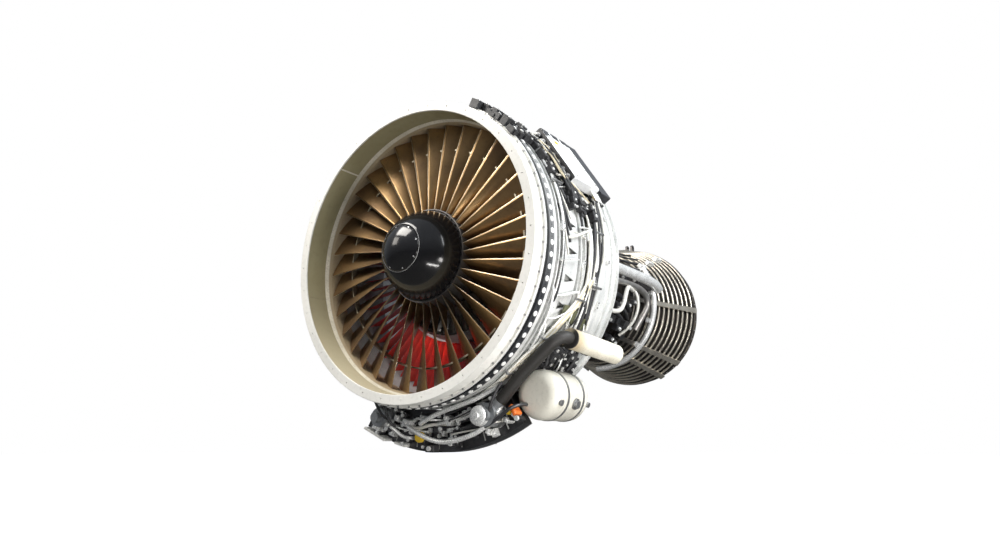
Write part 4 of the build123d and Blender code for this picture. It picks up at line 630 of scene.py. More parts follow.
form = bmesh.new()
blade_skin(form)
bmesh.ops.remove_doubles(form, verts=form.verts, dist=0.00005)
turn_about_axis(form, form.verts, BLADE_FIRST)
repeat_round(form, BLADES)
fan_skins = keep("fan_blade_skins", form, "blade_titanium", "blade_titanium", "lp_spool", True)
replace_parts(fan_skins, "fan_blades")
print("blade skins", len(fan_skins.data.polygons), "faces")

# %% [markdown]
# ## Platforms and mid-span shrouds
# Platforms close the hub between the blades, and at mid span each blade
# carries a stub that leans on its neighbours' stubs. Each is an outline spun
# through one blade's share of the circle, less a thin gap.

# %% Spin the platforms and shrouds
PLATFORM = ((0.4082, 0.262), (0.4402, 0.488), (0.432, 0.488), (0.400, 0.262))
SHROUD = ((0.953, 0.342), (0.967, 0.342), (0.967, 0.398), (0.953, 0.398))
SHARE = 360 / BLADES
SECTOR_STEPS = 5

# name, outline, finish, lead before the blade, gap to the next one
for name, outline, material, lead, gap in (
    ("fan_platforms", PLATFORM, "forged", 0, 0.06),
    ("fan_shrouds", SHROUD, "link_titanium", 0.5, 0.25),
):
    form = bmesh.new()
    verts = [form.verts.new((radius, y, 0)) for radius, y in outline]
    cap = form.faces.new(verts)
    turn_about_axis(form, verts, BLADE_FIRST - SHARE / 2 + lead)
    spin(form, [cap], radians(gap - SHARE), SECTOR_STEPS)
    repeat_round(form, BLADES)
    ring = keep(name, form, material, "blade_titanium", "lp_spool")
    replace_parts(ring, "fan_blades")
    print(name, len(ring.data.polygons), "faces")

# %% [markdown]
# ## Rings and discs
# A ring is an outline spun all the way round. A disc is a short cylinder
# whose top edge can be rounded.

# %% Write the helpers for rings and discs
MERGE_REACH = 0.00001


def edges_of(verts):
    """The edges at some vertices, each once and always in the same order."""
    return list(dict.fromkeys(edge for vert in verts for edge in vert.link_edges))


def round_edges(form, edges, bevel):
    """Rounds some edges of a bmesh by a bevel of two segments."""
    bmesh.ops.bevel(
        form, geom=edges, offset=bevel, segments=2, affect="EDGES", profile=0.5, material=-1
    )


def disc_at(form, radius, height, spot, direction, segments=16, bevel=0.0):
    """A closed disc from its base centre and direction, with its top edge bevelled if asked."""
    way = Vector(direction).normalized()
    turn = way.to_track_quat("Z", "Y").to_matrix().to_4x4()
    made = bmesh.ops.create_cone(
        form, cap_ends=True, segments=segments, radius1=radius, radius2=radius, depth=height,
        matrix=Matrix.Translation(spot) @ turn @ Matrix.Translation((0, 0, height / 2)),
    )
    if bevel:
        high = {v for v in made["verts"] if (v.co - Vector(spot)).dot(way) > height * 0.9}
        top = [edge for edge in edges_of(made["verts"]) if high.issuperset(edge.verts)]
        round_edges(form, top, bevel)


def spin_outline(form, outline, steps):
    """Spins a closed outline of (radius, station) points all the way round the Y axis."""
    verts = [form.verts.new((radius, y, 0)) for radius, y in outline]
    edges = [form.edges.new(pair) for pair in zip(verts, verts[1:] + verts[:1])]
    spin(form, verts + edges, 2 * pi, steps, use_merge=True)
    bmesh.ops.remove_doubles(form, verts=form.verts, dist=MERGE_REACH)


def full_ring(name, outline, steps, *dressing):
    """A dressed piece spun all the way round from a closed outline."""
    form = bmesh.new()
    spin_outline(form, outline, steps)
    return keep(name, form, *dressing)


def arc_points(first, middle, last, steps):
    """Points on the circle through three (radius, station) points, from the first to the last."""
    a, b, c = Vector(first), Vector(middle), Vector(last)
    bend = 2 * (a.x * (b.y - c.y) + b.x * (c.y - a.y) + c.x * (a.y - b.y))
    squares = [v.length_squared for v in (a, b, c)]
    centre = Vector((
        (squares[0] * (b.y - c.y) + squares[1] * (c.y - a.y) + squares[2] * (a.y - b.y)) / bend,
        (squares[0] * (c.x - b.x) + squares[1] * (a.x - c.x) + squares[2] * (b.x - a.x)) / bend,
    ))
    sweep = (a - centre).angle_signed(c - centre)
    spots = []
    for step in range(steps + 1):
        arm = (a - centre).copy()
        arm.rotate(Matrix.Rotation(-sweep * step / steps, 2))
        spots.append(tuple(centre + arm))
    return spots


print("ring helpers ready")

# %% [markdown]
# ## The spinner's two shells
# Two smooth shells of revolution, each an outline of arcs, take the place of
# the faceted ones. Screws stand on the cap along its own normal, and a thin
# pale bead closes the seam.

# %% Spin the spinner and add its screws and bead
CAP_SPHERE_R = 0.3149
CAP_CENTRE_Y = 0.1869
SCREW_R = 0.0065
SCREWS = 8
SCREW_LEAN = (0.587, -0.809)
BEAD = ((0.2035, -0.0525), (0.2035, -0.0555), (0.2052, -0.0545), (0.2052, -0.0515))

cap_outer = arc_points((0.0, -0.128), (0.105, -0.1099), (0.2035, -0.0534), 14)
cap_inner = arc_points((0.198, -0.0534), (0.105, -0.1045), (0.0, -0.123), 14)
cone_outer = arc_points((0.204, -0.053), (0.325, 0.075), (0.390, 0.254), 18)
cone_inner = arc_points((0.384, 0.254), (0.319, 0.0775), (0.196, -0.053), 18)
cone_outline = (*cone_outer, (0.390, 0.262), (0.384, 0.262), *cone_inner)
for name, outline, steps, node in (
    ("smooth_cap", (*cap_outer, *cap_inner), 96, "spinner_cap"),
    ("smooth_cone", cone_outline, 128, "spinner_cone"),
):
    dressing = ("spinner_black", "spinner_black", "lp_spool", True)
    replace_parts(full_ring(name, outline, steps, *dressing), node)
form = bmesh.new()
for index in range(SCREWS):
    turn = 2 * pi * (index + 0.3) / SCREWS
    lean = Vector((SCREW_LEAN[0] * cos(turn), SCREW_LEAN[1], SCREW_LEAN[0] * sin(turn)))
    spot = Vector((0, CAP_CENTRE_Y, 0)) + lean * (CAP_SPHERE_R - 0.001)
    disc_at(form, SCREW_R, 0.002, spot, lean, 16, 0.0006)
keep("spinner_screws", form, "bright_screw", "spinner_black", "lp_spool")
full_ring("spinner_bead", BEAD, 144, "bead_grey", "spinner_black", "lp_spool")
print("spinner screws", SCREWS)

# %% [markdown]
# ## Places on the round case
# Almost everything outside sits on a round case, so places are given as an
# angle from the right-hand side, a station along the engine and a radius. A
# frame there has its third axis outwards.

# %% Write the helpers for things on the case
FORWARD = Vector((0, -1, 0))
AFT = Vector((0, 1, 0))


def case_frame(angle, station, reach):
    """A frame on the case: first axis clockwise along the hoop, second aft, third outwards."""
    turn = radians(angle)
    out = Vector((cos(turn), 0, sin(turn)))
    along = Vector((sin(turn), 0, -cos(turn)))
    frame_matrix = Matrix((along, (0, 1, 0), out)).transposed().to_4x4()
    frame_matrix.translation = out * reach + Vector((0, station, 0))
    return frame_matrix


def on_case(angle, station, reach):
    """A point on the case from its angle, station and radius."""
    return case_frame(angle, station, reach).translation


def block(form, frame_matrix, centre, size, bevel=0.004):
    """A bevelled block in a frame, from its centre and size."""
    made = bmesh.ops.create_cube(form, size=1)
    bmesh.ops.scale(form, verts=made["verts"], vec=size)
    bmesh.ops.translate(form, verts=made["verts"], vec=centre)
    bmesh.ops.transform(form, verts=made["verts"], matrix=frame_matrix)
    round_edges(form, edges_of(made["verts"]), bevel)


def stud(form, frame_matrix, centre, radius, height, segments=6, bevel=0.0):
    """A disc in a frame that stands along the frame's third axis."""
    way = frame_matrix.col[2].xyz
    disc_at(form, radius, height, frame_matrix @ Vector(centre), way, segments, bevel)


def piece(name, material, slot, blocks=(), discs=(), studs=()):
    """A dressed piece made of blocks, discs and studs, each given by its own values."""
    form = bmesh.new()
    for shape, rows in ((block, blocks), (disc_at, discs), (stud, studs)):
        for values in rows:
            shape(form, *values)
    keep(name, form, material, slot)


print("case helpers ready")

# %% [markdown]
# ## Pipes and cables
# A pipe starts as a spline with a round section that passes near its points.
# It is turned into a mesh at once, so that it is measured and exported like
# any other piece.

# %% Write the helpers for lines
def line(name, points, radius, material, slot="tube_steel"):
    """A fixed pipe or cable on a smooth spline through the space near its points."""
    curve = bpy.data.curves.new(name, "CURVE")
    curve.dimensions = "3D"
    curve.bevel_depth = radius
    curve.bevel_resolution = 2
    curve.resolution_u = 6
    curve.use_fill_caps = True
    spline = curve.splines.new("NURBS")
    spline.points.add(len(points) - 1)
    for point, spot in zip(spline.points, points):
        point.co = (*spot, 1)
    spline.order_u = 3
    spline.use_endpoint_u = True
    path = bpy.data.objects.new(name, curve)
    scene.collection.objects.link(path)
    bpy.context.view_layer.update()
    solved = path.evaluated_get(bpy.context.evaluated_depsgraph_get())
    tube = bpy.data.objects.new(name, bpy.data.meshes.new_from_object(solved))
    bpy.data.objects.remove(path)
    tube.name = name
    scene.collection.objects.link(tube)
    dress(tube, material, slot, smooth=True)


def case_line(name, spots, *values):
    """A line whose points are given as angle, station and radius on the case."""
    line(name, [on_case(*spot) for spot in spots], *values)


print("line helpers ready")

# %% [markdown]
# ## The ring of holes
# The case's front ring has bright bushes in its round holes, and a bright
# band just under the skin shows through each hole.

# %% Line the holes
HOLES = 88
HOLE_STATION = 0.208
BAND = ((1.2865, 0.180), (1.2885, 0.180), (1.2885, 0.236), (1.2865, 0.236))
full_ring("hole_band", BAND, 2 * HOLES, "hole_bright", "case_silver")
hole_frames = [case_frame(index * 360 / HOLES, HOLE_STATION, 1.2975) for index in range(HOLES)]
piece("hole_bushes", "hole_bright", "case_silver", studs=[
    (spot, (0, 0, 0), 0.0215, 0.007, 18, 0.003) for spot in hole_frames
])
print("bushes", HOLES)

# %% [markdown]
# ## Control unit, its cover and its connectors
# The control unit is a white box whose faces turned forward, left and up are
# darkened, under a white cover plate with screws. Three modules stand beside
# the cover, and a row of round connectors on the front.

# %% Dress the control unit
UNIT_ANGLE = 33
CONNECTORS = 7
unit_frame = case_frame(UNIT_ANGLE, 0.725, 1.355)
connector_spots = [
    unit_frame @ Vector((-0.25 + index * 0.083, -0.205, -0.004)) for index in range(CONNECTORS)
]
piece("unit_covers", "white_paint", "duct_white", [
    (unit_frame, (0.035, 0.015, 0.047), (0.51, 0.37, 0.008), 0.003)
])
piece("unit_modules", "dark_unit", "unit_dark", [
    (unit_frame, (-0.25, row, 0.038), (0.09, 0.105, 0.022)) for row in (-0.15, 0.0, 0.15)
])
piece("unit_screws", "bolt_steel", "bolt_steel", studs=[
    (unit_frame, (across, along, 0.052), 0.007, 0.004)
    for across in (-0.09, 0.09, 0.27) for along in (-0.155, 0.155)
])
piece("unit_connectors", "bolt_steel", "bolt_steel", discs=[
    (radius, height, spot, FORWARD, 20, 0.002)
    for spot in connector_spots for radius, height in ((0.024, 0.022), (0.017, 0.045))
])
piece("unit_plate", "white_paint", "duct_white", [
    (case_frame(26, 0.86, 1.355), (0.19, 0.02, 0.036), (0.10, 0.12, 0.006), 0.002)
])
print("unit connectors", CONNECTORS)

# %% [markdown]
# ## Harness
# Bundled cables run from the unit's connectors forward and down around the
# case: black ones at the upper right, white and cream ones lower down.

# %% Run the harness
CABLE_STEP = FORWARD * 0.04
for index, connector in enumerate(connector_spots):
    start = connector + CABLE_STEP
    end_angle = 8 + index * 4.5
    bend = (UNIT_ANGLE + 11 - index * 3.6, 0.405 - 0.012 * (index % 3), 1.325 + 0.014 * (index % 2))
    line(f"unit_cable_{index}", [
        start, start + CABLE_STEP, on_case(*bend),
        on_case(end_angle + 6, 0.372 + 0.012 * (index % 3), 1.318),
        on_case(end_angle - 6, 0.385 + 0.01 * index, 1.312),
        on_case(end_angle - 14, 0.46 + 0.02 * index, 1.300),
    ], 0.009 + 0.002 * (index % 3), "black_hose" if index % 3 else "white_cable")
for index in range(5):
    case_line(f"hoop_cable_{index}", [
        (52 - 2 * index, 0.93 + 0.012 * index, 1.320),
        (40, 0.945 + 0.014 * index, 1.345 + 0.012 * (index % 2)),
        (26, 0.935 + 0.016 * index, 1.36), (16, 0.90 + 0.03 * index, 1.345),
        (6, 0.86 + 0.045 * index, 1.325), (-6, 0.87 + 0.04 * index, 1.315),
        (-22 - 2 * index, 0.83 + 0.04 * index, 1.318),
    ], 0.010 if index % 2 else 0.014, "black_hose" if index in (0, 2, 3) else "white_cable")
for index in range(4):
    shift = 0.024 * index
    case_line(f"cream_line_{index}", [
        (-12, 0.80 + shift, 1.315), (-20, 0.70 + shift, 1.320), (-27, 0.56 + shift, 1.318),
        (-36, 0.435 + shift, 1.325), (-46, 0.33 + shift * 0.6, 1.318),
        (-58, 0.335 + shift * 0.5, 1.315), (-68, 0.36 + shift * 0.5, 1.312),
    ], 0.0105, "cream_cable" if index % 2 else "white_cable")
print("harness done")

# %% [markdown]
# ## Clips and caps
# Clips hold the lines to the case, with a screw on each side of the bundle.
# Yellow plastic caps close the open test ports.

# %% Add clips and caps
CLIP_PLACES = (
    (-20, 0.735), (-36, 0.47), (-52, 0.365), (6, 0.95), (20, 0.955), (-14, 0.94), (34, 0.40),
    (20, 0.395),
)
CAP_DISCS = ((0.020, 0.026, 0.004), (0.025, 0.006, 0.001))
CAP_PLACES = ((39, 0.63, 1.395), (19, 0.91, 1.372), (14, 0.72, 1.315), (-78, 1.02, 1.300))
clip_frames = [case_frame(angle, station, 1.300) for angle, station in CLIP_PLACES]
piece(
    "line_clips", "bolt_steel", "bolt_steel",
    [(spot, (0, 0, 0.018), (0.018, 0.13, 0.036), 0.003) for spot in clip_frames],
    studs=[(spot, (0, y, 0.036), 0.008, 0.006) for spot in clip_frames for y in (-0.05, 0.05)],
)
piece("port_caps", "yellow_cap", "duct_white", studs=[
    (case_frame(*place), (0, 0, 0), radius, height, 24, bevel)
    for place in CAP_PLACES for radius, height, bevel in CAP_DISCS
])
piece("orange_strip", "orange_tag", "duct_white", [
    (case_frame(-21.5, 0.745, 1.274), (0, 0, 0.004), (0.075, 0.02, 0.006), 0.001)
])
print("clips", len(clip_frames))

# %% [markdown]
# ## Small plumbing on the fan case
# Dozens of small tubes crowd the right-hand side. A seeded random choice of
# angle, station and length gives the same set each time: hoop tubes first,
# then tubes along the engine.

# %% Run the small tubes
SEED = 7
HOOP_STATIONS = (0.355, 0.372, 0.43, 0.70, 0.72, 0.775, 0.82, 0.86, 0.90, 0.95, 0.975)
TUBE_FINISHES = (
    "bright_steel", "white_cable", "black_hose", "bright_steel", "black_hose", "dark_steel",
)
picks = random.Random(SEED)
for index in range(26):
    station = picks.choice(HOOP_STATIONS) + picks.uniform(-0.008, 0.008)
    low = picks.uniform(-62, 20)
    high = low + picks.uniform(16, 44)
    reach = 1.296 + picks.uniform(0.008, 0.03)
    if 0.45 < station < 0.69:
        reach = 1.284
    kink = picks.uniform(-0.03, 0.03)
    case_line(f"hoop_tube_{index}", [
        (low, station + kink, reach - 0.018), (low + 1.5, station + kink, reach),
        (low + (high - low) * 0.35, station, reach + 0.004),
        (low + (high - low) * 0.7, station, reach + 0.004),
        (high - 1.5, station - kink, reach), (high, station - kink, reach - 0.018),
    ], picks.choice((0.006, 0.008, 0.010, 0.013)), picks.choice(TUBE_FINISHES))
for index in range(24):
    angle, front = picks.uniform(-62, 60), picks.uniform(0.34, 0.75)
    back = front + picks.uniform(0.18, 0.5)
    slant = picks.uniform(-7, 7)
    reach = 1.300 + picks.uniform(0.006, 0.03)
    case_line(f"axial_tube_{index}", [
        (angle, front, reach - 0.02), (angle, front + 0.02, reach),
        (angle + slant * 0.3, front + (back - front) * 0.35, reach),
        (angle + slant * 0.7, front + (back - front) * 0.65, reach),
        (angle + slant, back - 0.02, reach), (angle + slant, back, reach - 0.02),
    ], picks.choice((0.006, 0.008, 0.012)), picks.choice(TUBE_FINISHES))

# %% [markdown]
# ## Boxes on the fan case
# Bright blocks with two screws stand on the bright bands, and darker boxes
# with one stud crowd four patches. Their height stops short of the engine's
# widest reach, so that no box makes it bigger.

# %% Crowd the case with boxes
BOX_STATIONS = (0.36, 0.45, 0.72, 0.79, 0.86, 0.93, 1.06, 1.12)
SIDE_REACH = 1.285
CASE_R = 1.292
# angles, stations, tallest box, count
CROWDS = {
    "top_boxes": ((38, 62), (0.10, 0.48), 0.08, 60),
    "front_boxes": ((23, 44), (0.37, 0.48), 0.075, 26),
    "side_boxes": ((11, 20.5), (0.50, 1.08), 0.07, 34),
    "low_boxes": ((-60, -37), (0.58, 1.14), 0.085, 40),
}
blocks, studs = [], []
for index in range(26):
    angle, station = picks.uniform(-62, 62), picks.choice(BOX_STATIONS)
    if 14 < angle < 48 and 0.5 < station < 1.14:
        continue
    width, length = picks.uniform(0.02, 0.075), picks.uniform(0.02, 0.05)
    height = picks.uniform(0.012, 0.034)
    spot = case_frame(angle, station, CASE_R if station < 0.5 or station > 0.75 else 1.272)
    blocks.append((spot, (0, 0, height / 2), (width, length, height), 0.003))
    studs += [(spot, (side * width, 0, height), 0.006, 0.004) for side in (0.3, -0.3)]
piece("case_blocks", "bright_steel", "case_silver", blocks)
piece("case_block_screws", "dark_steel", "bolt_steel", studs=studs)
for name, (angles, stations, tallest, count) in CROWDS.items():
    blocks, studs = [], []
    for index in range(count):
        angle, station = picks.uniform(*angles), picks.uniform(*stations)
        room = min(tallest, SIDE_REACH / abs(sin(radians(angle + 2))) - CASE_R)
        width, length = picks.uniform(0.03, 0.11), picks.uniform(0.03, 0.09)
        height = picks.uniform(0.4, 1.0) * room
        spot = case_frame(angle, station, CASE_R)
        blocks.append((spot, (0, 0, height / 2), (width, length, height)))
        studs.append((spot, (0, 0, height), picks.uniform(0.007, 0.016), 0.008, 12, 0.002))
    piece(name, "black_hose", "unit_dark", blocks)
    piece(name + "_studs", "bright_steel", "bolt_steel", studs=studs)
print("crowds", len(CROWDS))

# %% [markdown]
# ## Cables over the boxes
# Thin cables wind over the boxes at the upper right and hang across the low
# ones. A row of olive panels steps down the side.

# %% Run the cables over the boxes
TANGLE_FINISHES = ("black_hose", "black_hose", "black_hose", "white_cable", "cream_cable")
LOW_FINISHES = ("black_hose", "black_hose", "white_cable", "bright_steel")
for index in range(14):
    start, station = picks.uniform(34, 46), picks.uniform(0.38, 0.49)
    reach = picks.uniform(1.355, 1.378)
    case_line(f"tangle_cable_{index}", [
        (start, station, reach - 0.05), (start - 3, station, reach),
        (start - 12, picks.uniform(0.40, 0.50), reach), (22, picks.uniform(0.42, 0.52), reach),
        (17, picks.uniform(0.5, 0.8), reach - 0.01),
        (15, picks.uniform(0.7, 1.0), reach - 0.05),
    ], picks.choice((0.006, 0.008, 0.011)), picks.choice(TANGLE_FINISHES))
panel_frames = [case_frame(-25.5 - 0.55 * step, 0.60 + 0.088 * step, 1.296) for step in range(5)]
piece("olive_panels", "olive_paint", "unit_dark", [
    (spot, (0, 0, 0.002), (0.115, 0.082, 0.014)) for spot in panel_frames
])
sleeve = [(43 - 1.5 * step, 0.225 + 0.045 * step, 1.325) for step in range(5)]
case_line("orange_sleeve", sleeve, 0.010, "orange_tag", "duct_white")
for index in range(12):
    front = picks.uniform(0.5, 0.95)
    high, low = picks.uniform(-42, -36), picks.uniform(-66, -54)
    reach = 1.345 + 0.008 * (index % 4)
    case_line(f"low_cable_{index}", [
        (high, front + 0.15, reach - 0.04), (high - 4, front + 0.17, reach),
        ((high + low) / 2, front + picks.uniform(-0.02, 0.2), reach + 0.02),
        (low + 4, front, reach), (low, front - 0.02, reach - 0.04),
    ], picks.choice((0.008, 0.011, 0.014)), picks.choice(LOW_FINISHES))
print("cables over the boxes done")

# %% [markdown]
# ## Oil tank fittings
# Two steel straps hold the domed tank, each a thin outline spun round the
# tank's own axis. The filler neck, its cap and two ports are stacked discs.

# %% Dress the oil tank
TANK_X = 0.950
TANK_Z = -1.200
TANK_R = 0.200
STRAP_WIDTH = 0.026
STRAP_DEPTH = 0.004
FITTING_DEPTH = 0.012
# station, radius, height
TANK_FITTINGS = (
    (0.80, 0.046, 0.012), (0.80, 0.034, 0.030), (0.58, 0.026, 0.010), (1.0, 0.022, 0.014),
)
form = bmesh.new()
for front in (0.665, 0.905):
    back, outer = front + STRAP_WIDTH, TANK_R + STRAP_DEPTH
    spin_outline(form, ((TANK_R, front), (outer, front), (outer, back), (TANK_R, back)), 64)
bmesh.ops.translate(form, verts=form.verts, vec=(TANK_X, 0, TANK_Z))
keep("tank_straps", form, "bolt_steel", "bolt_steel")
tank_out = on_case(-20, 0, 1)
tank_side = Vector((TANK_X, 0, TANK_Z)) + tank_out * (TANK_R - FITTING_DEPTH)
piece("tank_fittings", "bolt_steel", "bolt_steel", discs=[
    (radius, height + FITTING_DEPTH, tank_side + AFT * station, tank_out, 28, 0.002)
    for station, radius, height in TANK_FITTINGS
])
line("tank_feed", [
    (TANK_X + 0.02, 1.046, TANK_Z), (TANK_X, 1.13, TANK_Z), (0.86, 1.17, -1.12),
    (0.70, 1.17, -1.13), (0.52, 1.15, -1.215),
], 0.016, "steel_vane")
line("tank_return", [
    (0.80, 0.512, -1.10), (0.76, 0.46, -1.10), (0.66, 0.452, -1.17), (0.52, 0.452, -1.24),
    (0.42, 0.45, -1.262),
], 0.013, "steel_vane")
print("tank dressed")

# %% [markdown]
# ## Gearbox fittings
# The gearbox has rows of small bolts on its rim and ribs on its front, and a
# ring clamps each accessory. A filter bowl and a white plate stand in front.

# %% Dress the gearbox
GEAR_STEP = 11.67
GEARBOX_R = 1.475
# steps from the middle gear, face, radius, direction
CLAMPS = (
    (-2, 0.500, 0.098, FORWARD), (2, 0.500, 0.106, FORWARD), (-1, 0.632, 0.086, AFT),
    (1, 0.632, 0.126, AFT),
)
filter_spot = on_case(-68, 0.40, 1.47)
piece("gearbox_bolts", "bolt_steel", "bolt_steel", discs=[
    (0.0065, 0.006, on_case(-118 + 2 * index, 0.632, reach), AFT, 6)
    for index in range(29) for reach in (1.306, 1.641)
])
piece("gearbox_ribs", "cast_light", "cast_light", [
    (case_frame(-116 + 8.6 * index, 0.4965, GEARBOX_R), (0, 0, 0), (0.010, 0.007, 0.30), 0.002)
    for index in range(7)
])
piece("accessory_clamps", "bolt_steel", "bolt_steel", discs=[
    (radius, 0.020, on_case(-90 + steps * GEAR_STEP, face, GEARBOX_R), way, 40, 0.003)
    for steps, face, radius, way in CLAMPS
])
for index, (start, end) in enumerate((
    ((-0.46, 0.36, -1.37), (-0.62, 0.345, -1.15)),
    ((-0.36, 0.34, -1.43), (-0.44, 0.30, -1.235)),
    ((0.62, 0.37, -1.36), (0.74, 0.345, -1.115)),
)):
    middle_x, middle_z = (start[0] + end[0]) / 2, (start[2] + end[2]) / 2
    line(f"accessory_line_{index}", [
        start, (start[0], start[1] - 0.05, start[2]), (middle_x, start[1] - 0.07, middle_z),
        (end[0], end[1] - 0.02, end[2]), end,
    ], 0.012, "black_hose")
piece("filter_bowl", "bright_steel", "cast_light", discs=[
    (0.088, 0.06, filter_spot, FORWARD, 40, 0.006),
    (0.080, 0.135, filter_spot, FORWARD, 40, 0.03),
    (0.030, 0.150, filter_spot, FORWARD, 6, 0.003),
])
piece("gearbox_plate", "white_paint", "duct_white", [
    (case_frame(-114, 0.455, 1.635), (0, 0, 0), (0.27, 0.12, 0.022), 0.005),
    (case_frame(-104, 0.47, 1.632), (0, 0, 0), (0.12, 0.08, 0.022), 0.005),
])
print("gearbox clamps", len(CLAMPS))

# %% [markdown]
# ## Clutter in front of the gearbox
# Two thick pipes frame the gearbox. Boxes with studs and short tubes fill the
# space between them by the same seeded choice, with room left for the filter.

# %% Fill the gearbox's front
PIPE_R = 0.020
GEARBOX_IN, GEARBOX_OUT = 1.33, 1.60
GEARBOX_TUBE_FINISHES = ("bright_steel", "bright_steel", "dark_steel", "white_cable", "black_hose")
case_line("gearbox_upper_pipe", [
    (-94, 0.36, 1.42), (-90, 0.33, 1.38), (-84, 0.32, 1.335), (-74, 0.32, 1.325),
    (-66, 0.33, 1.335), (-58, 0.36, 1.33),
], PIPE_R, "bright_steel")
case_line("gearbox_lower_pipe", [
    (-99, 0.36, 1.46), (-92, 0.32, 1.52), (-84, 0.32, 1.585), (-76, 0.33, 1.585),
    (-69, 0.34, 1.575), (-63, 0.38, 1.50), (-59, 0.42, 1.42),
], PIPE_R, "bright_steel")
dark_blocks, pale_blocks, studs = [], [], []
for index in range(84):
    angle, reach = picks.uniform(-117, -58), picks.uniform(1.335, 1.625)
    depth = picks.uniform(0.02, 0.10)
    spot = case_frame(angle, 0.49 - depth / 2, reach)
    if -74 < angle < -62 and 1.38 < reach < 1.57:
        continue
    size = (picks.uniform(0.02, 0.09), depth, picks.uniform(0.02, 0.07))
    (dark_blocks if index % 3 else pale_blocks).append((spot, (0, 0, 0), size))
    front = spot @ Vector((0, -depth / 2, 0))
    studs.append((picks.uniform(0.008, 0.022), 0.016, front, FORWARD, 12, 0.002))
piece("gearbox_boxes", "dark_steel", "case_grey", dark_blocks)
piece("gearbox_pale_boxes", "bright_steel", "cast_light", pale_blocks)
piece("gearbox_studs", "bright_steel", "bolt_steel", discs=studs)
for index in range(18):
    low, reach = picks.uniform(-116, -74), picks.uniform(GEARBOX_IN, GEARBOX_OUT)
    span, front = picks.uniform(6, 20), picks.uniform(0.35, 0.46)
    shift = picks.uniform(-0.05, 0.05)
    far_reach = min(max(reach + shift, GEARBOX_IN), GEARBOX_OUT)
    case_line(f"gearbox_tube_{index}", [
        (low, 0.50, reach), (low, front, reach),
        (low + span * 0.35, front - 0.01, reach + shift * 0.2),
        (low + span * 0.7, front - 0.01, far_reach),
        (low + span, front, far_reach), (low + span, 0.50, far_reach),
    ], picks.choice((0.007, 0.009, 0.012, 0.015)), picks.choice(GEARBOX_TUBE_FINISHES))
piece("gearbox_caps", "yellow_cap", "duct_white", discs=[
    (0.045, 0.04, on_case(-94.5, 0.40, 1.53), FORWARD, 24, 0.012),
    (0.026, 0.03, on_case(-60.5, 0.44, 1.53), FORWARD, 24, 0.006),
])
piece("gearbox_tag", "orange_tag", "duct_white", [
    (case_frame(-58.5, 0.43, 1.55), (0, 0, 0), (0.035, 0.10, 0.09), 0.01)
])
print("gearbox boxes", len(studs))

# %% [markdown]
# ## Pipes along the core
# Behind the fan frame, a wide silver air pipe runs aft to a bright manifold
# hoop on the turbine case. Darker pipes, hoses and a bent white pipe fill the
# space under it.

# %% Run the core's pipes
HUB_REAR = 1.345
case_line("core_air_pipe", [
    (24, HUB_REAR, 0.66), (21, 1.80, 0.70), (17, 2.50, 0.76), (15, 3.00, 0.79),
    (13, 3.36, 0.80), (11, 3.47, 0.77),
], 0.056, "bright_steel")
case_line("core_side_pipe", [
    (4, HUB_REAR, 0.62), (6, 2.20, 0.70), (8, 2.80, 0.73), (5, 3.12, 0.74), (-3, 3.22, 0.74),
    (-12, 3.20, 0.72), (-30, 3.16, 0.68),
], 0.036, "steel_vane")
case_line("core_white_pipe", [
    (-22, HUB_REAR, 0.64), (-20, 2.20, 0.78), (-19, 2.44, 0.80), (-12, 2.52, 0.79),
    (0, 2.60, 0.77), (5, 2.74, 0.74), (4, 2.90, 0.70),
], 0.024, "white_cable")
case_line(
    "core_rim_pipe",
    [(6, 2.92, 0.70), (0, 2.95, 0.74), (-14, 2.96, 0.75), (-30, 2.94, 0.72), (-40, 2.92, 0.66)],
    0.017, "white_cable",
)
manifold = [(angle, 3.415, 0.722) for angle in range(34, -93, -9)]
case_line("turbine_manifold", manifold, 0.034, "bright_steel")
for index in range(3):
    low = -9 * index
    case_line(f"core_hose_{index}", [
        (low - 4, HUB_REAR, 0.58), (low - 3, 1.90, 0.66), (-2 - 8 * index, 2.50, 0.68),
        (-8 - 8 * index, 2.85, 0.66), (low - 14, 3.05, 0.60),
    ], 0.026 - 0.004 * index, "black_hose")
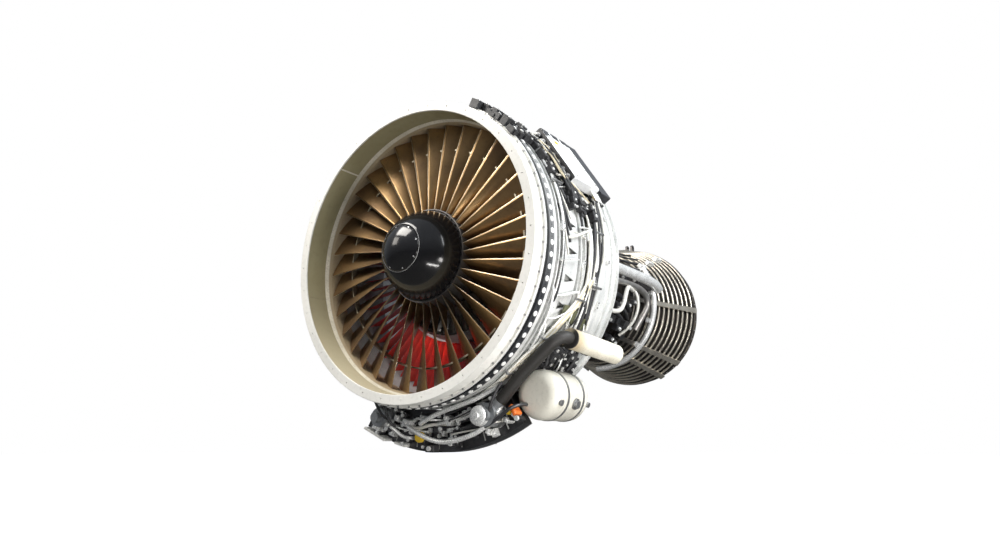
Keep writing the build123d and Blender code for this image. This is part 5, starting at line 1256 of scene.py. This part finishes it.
for index in range(4):
    high = 9 * index
    case_line(f"core_small_{index}", [
        (36 + high, HUB_REAR, 0.58), (35 + high, 2.10, 0.62), (38 + 8 * index, 2.70, 0.64),
        (34 + high, 3.20, 0.66), (33 + high, 3.60, 0.72),
    ], 0.011 + 0.004 * (index % 2), "dark_steel")
print("core pipes done")

# %% [markdown]
# ## Boxes and brackets along the core
# Boxes sit among the core's pipes by the same seeded choice. Brackets carry
# the wide pipe and hold the manifold hoop.

# %% Add the core's boxes and brackets
# angle, station, radius of the pipe that a bracket carries
BRACKETS = (
    (21, 1.9, 0.66), (17, 2.5, 0.70), (15, 3.0, 0.73), (14, 3.3, 0.74), (-2, 2.0, 0.64),
    (-30, 2.0, 0.62),
)
BRACKET_DROP = 0.06
CASE_SLOPE = 0.35
blocks, studs = [], []
for index in range(34):
    angle, station = picks.uniform(-48, 48), picks.uniform(2.15, 3.02)
    spot = case_frame(angle, station, 0.60 + picks.uniform(0, 0.10))
    width, length = picks.uniform(0.03, 0.09), picks.uniform(0.03, 0.12)
    height = picks.uniform(0.03, 0.09)
    blocks.append((spot, (0, 0, 0), (width, length, height), 0.005))
    if index % 2:
        studs.append((spot, (0, 0, height / 2), 0.018, 0.020, 12, 0.003))
piece("core_boxes", "dark_steel", "case_grey", blocks)
piece("core_studs", "bright_steel", "bolt_steel", studs=studs)
print("core boxes", len(blocks))
piece("core_brackets", "dark_steel", "bolt_steel", [
    (case_frame(angle, station, reach - BRACKET_DROP), (0, 0, 0), (0.15, 0.026, 0.14))
    for angle, station, reach in BRACKETS
])
blocks = [
    (case_frame(angle, 3.43, 0.69), (0, 0, 0), (0.05, 0.12, 0.06), 0.005)
    for angle in (34, 8, -18, -44, -70)
]
for angle, station in ((37, 3.45), (40, 3.62), (43, 3.8)):
    spot = case_frame(angle, station, 0.72 + CASE_SLOPE * (station - 3.45))
    blocks.append((spot, (0, 0, 0), (0.05, 0.15, 0.05), 0.006))
piece("manifold_brackets", "bright_steel", "bolt_steel", blocks)
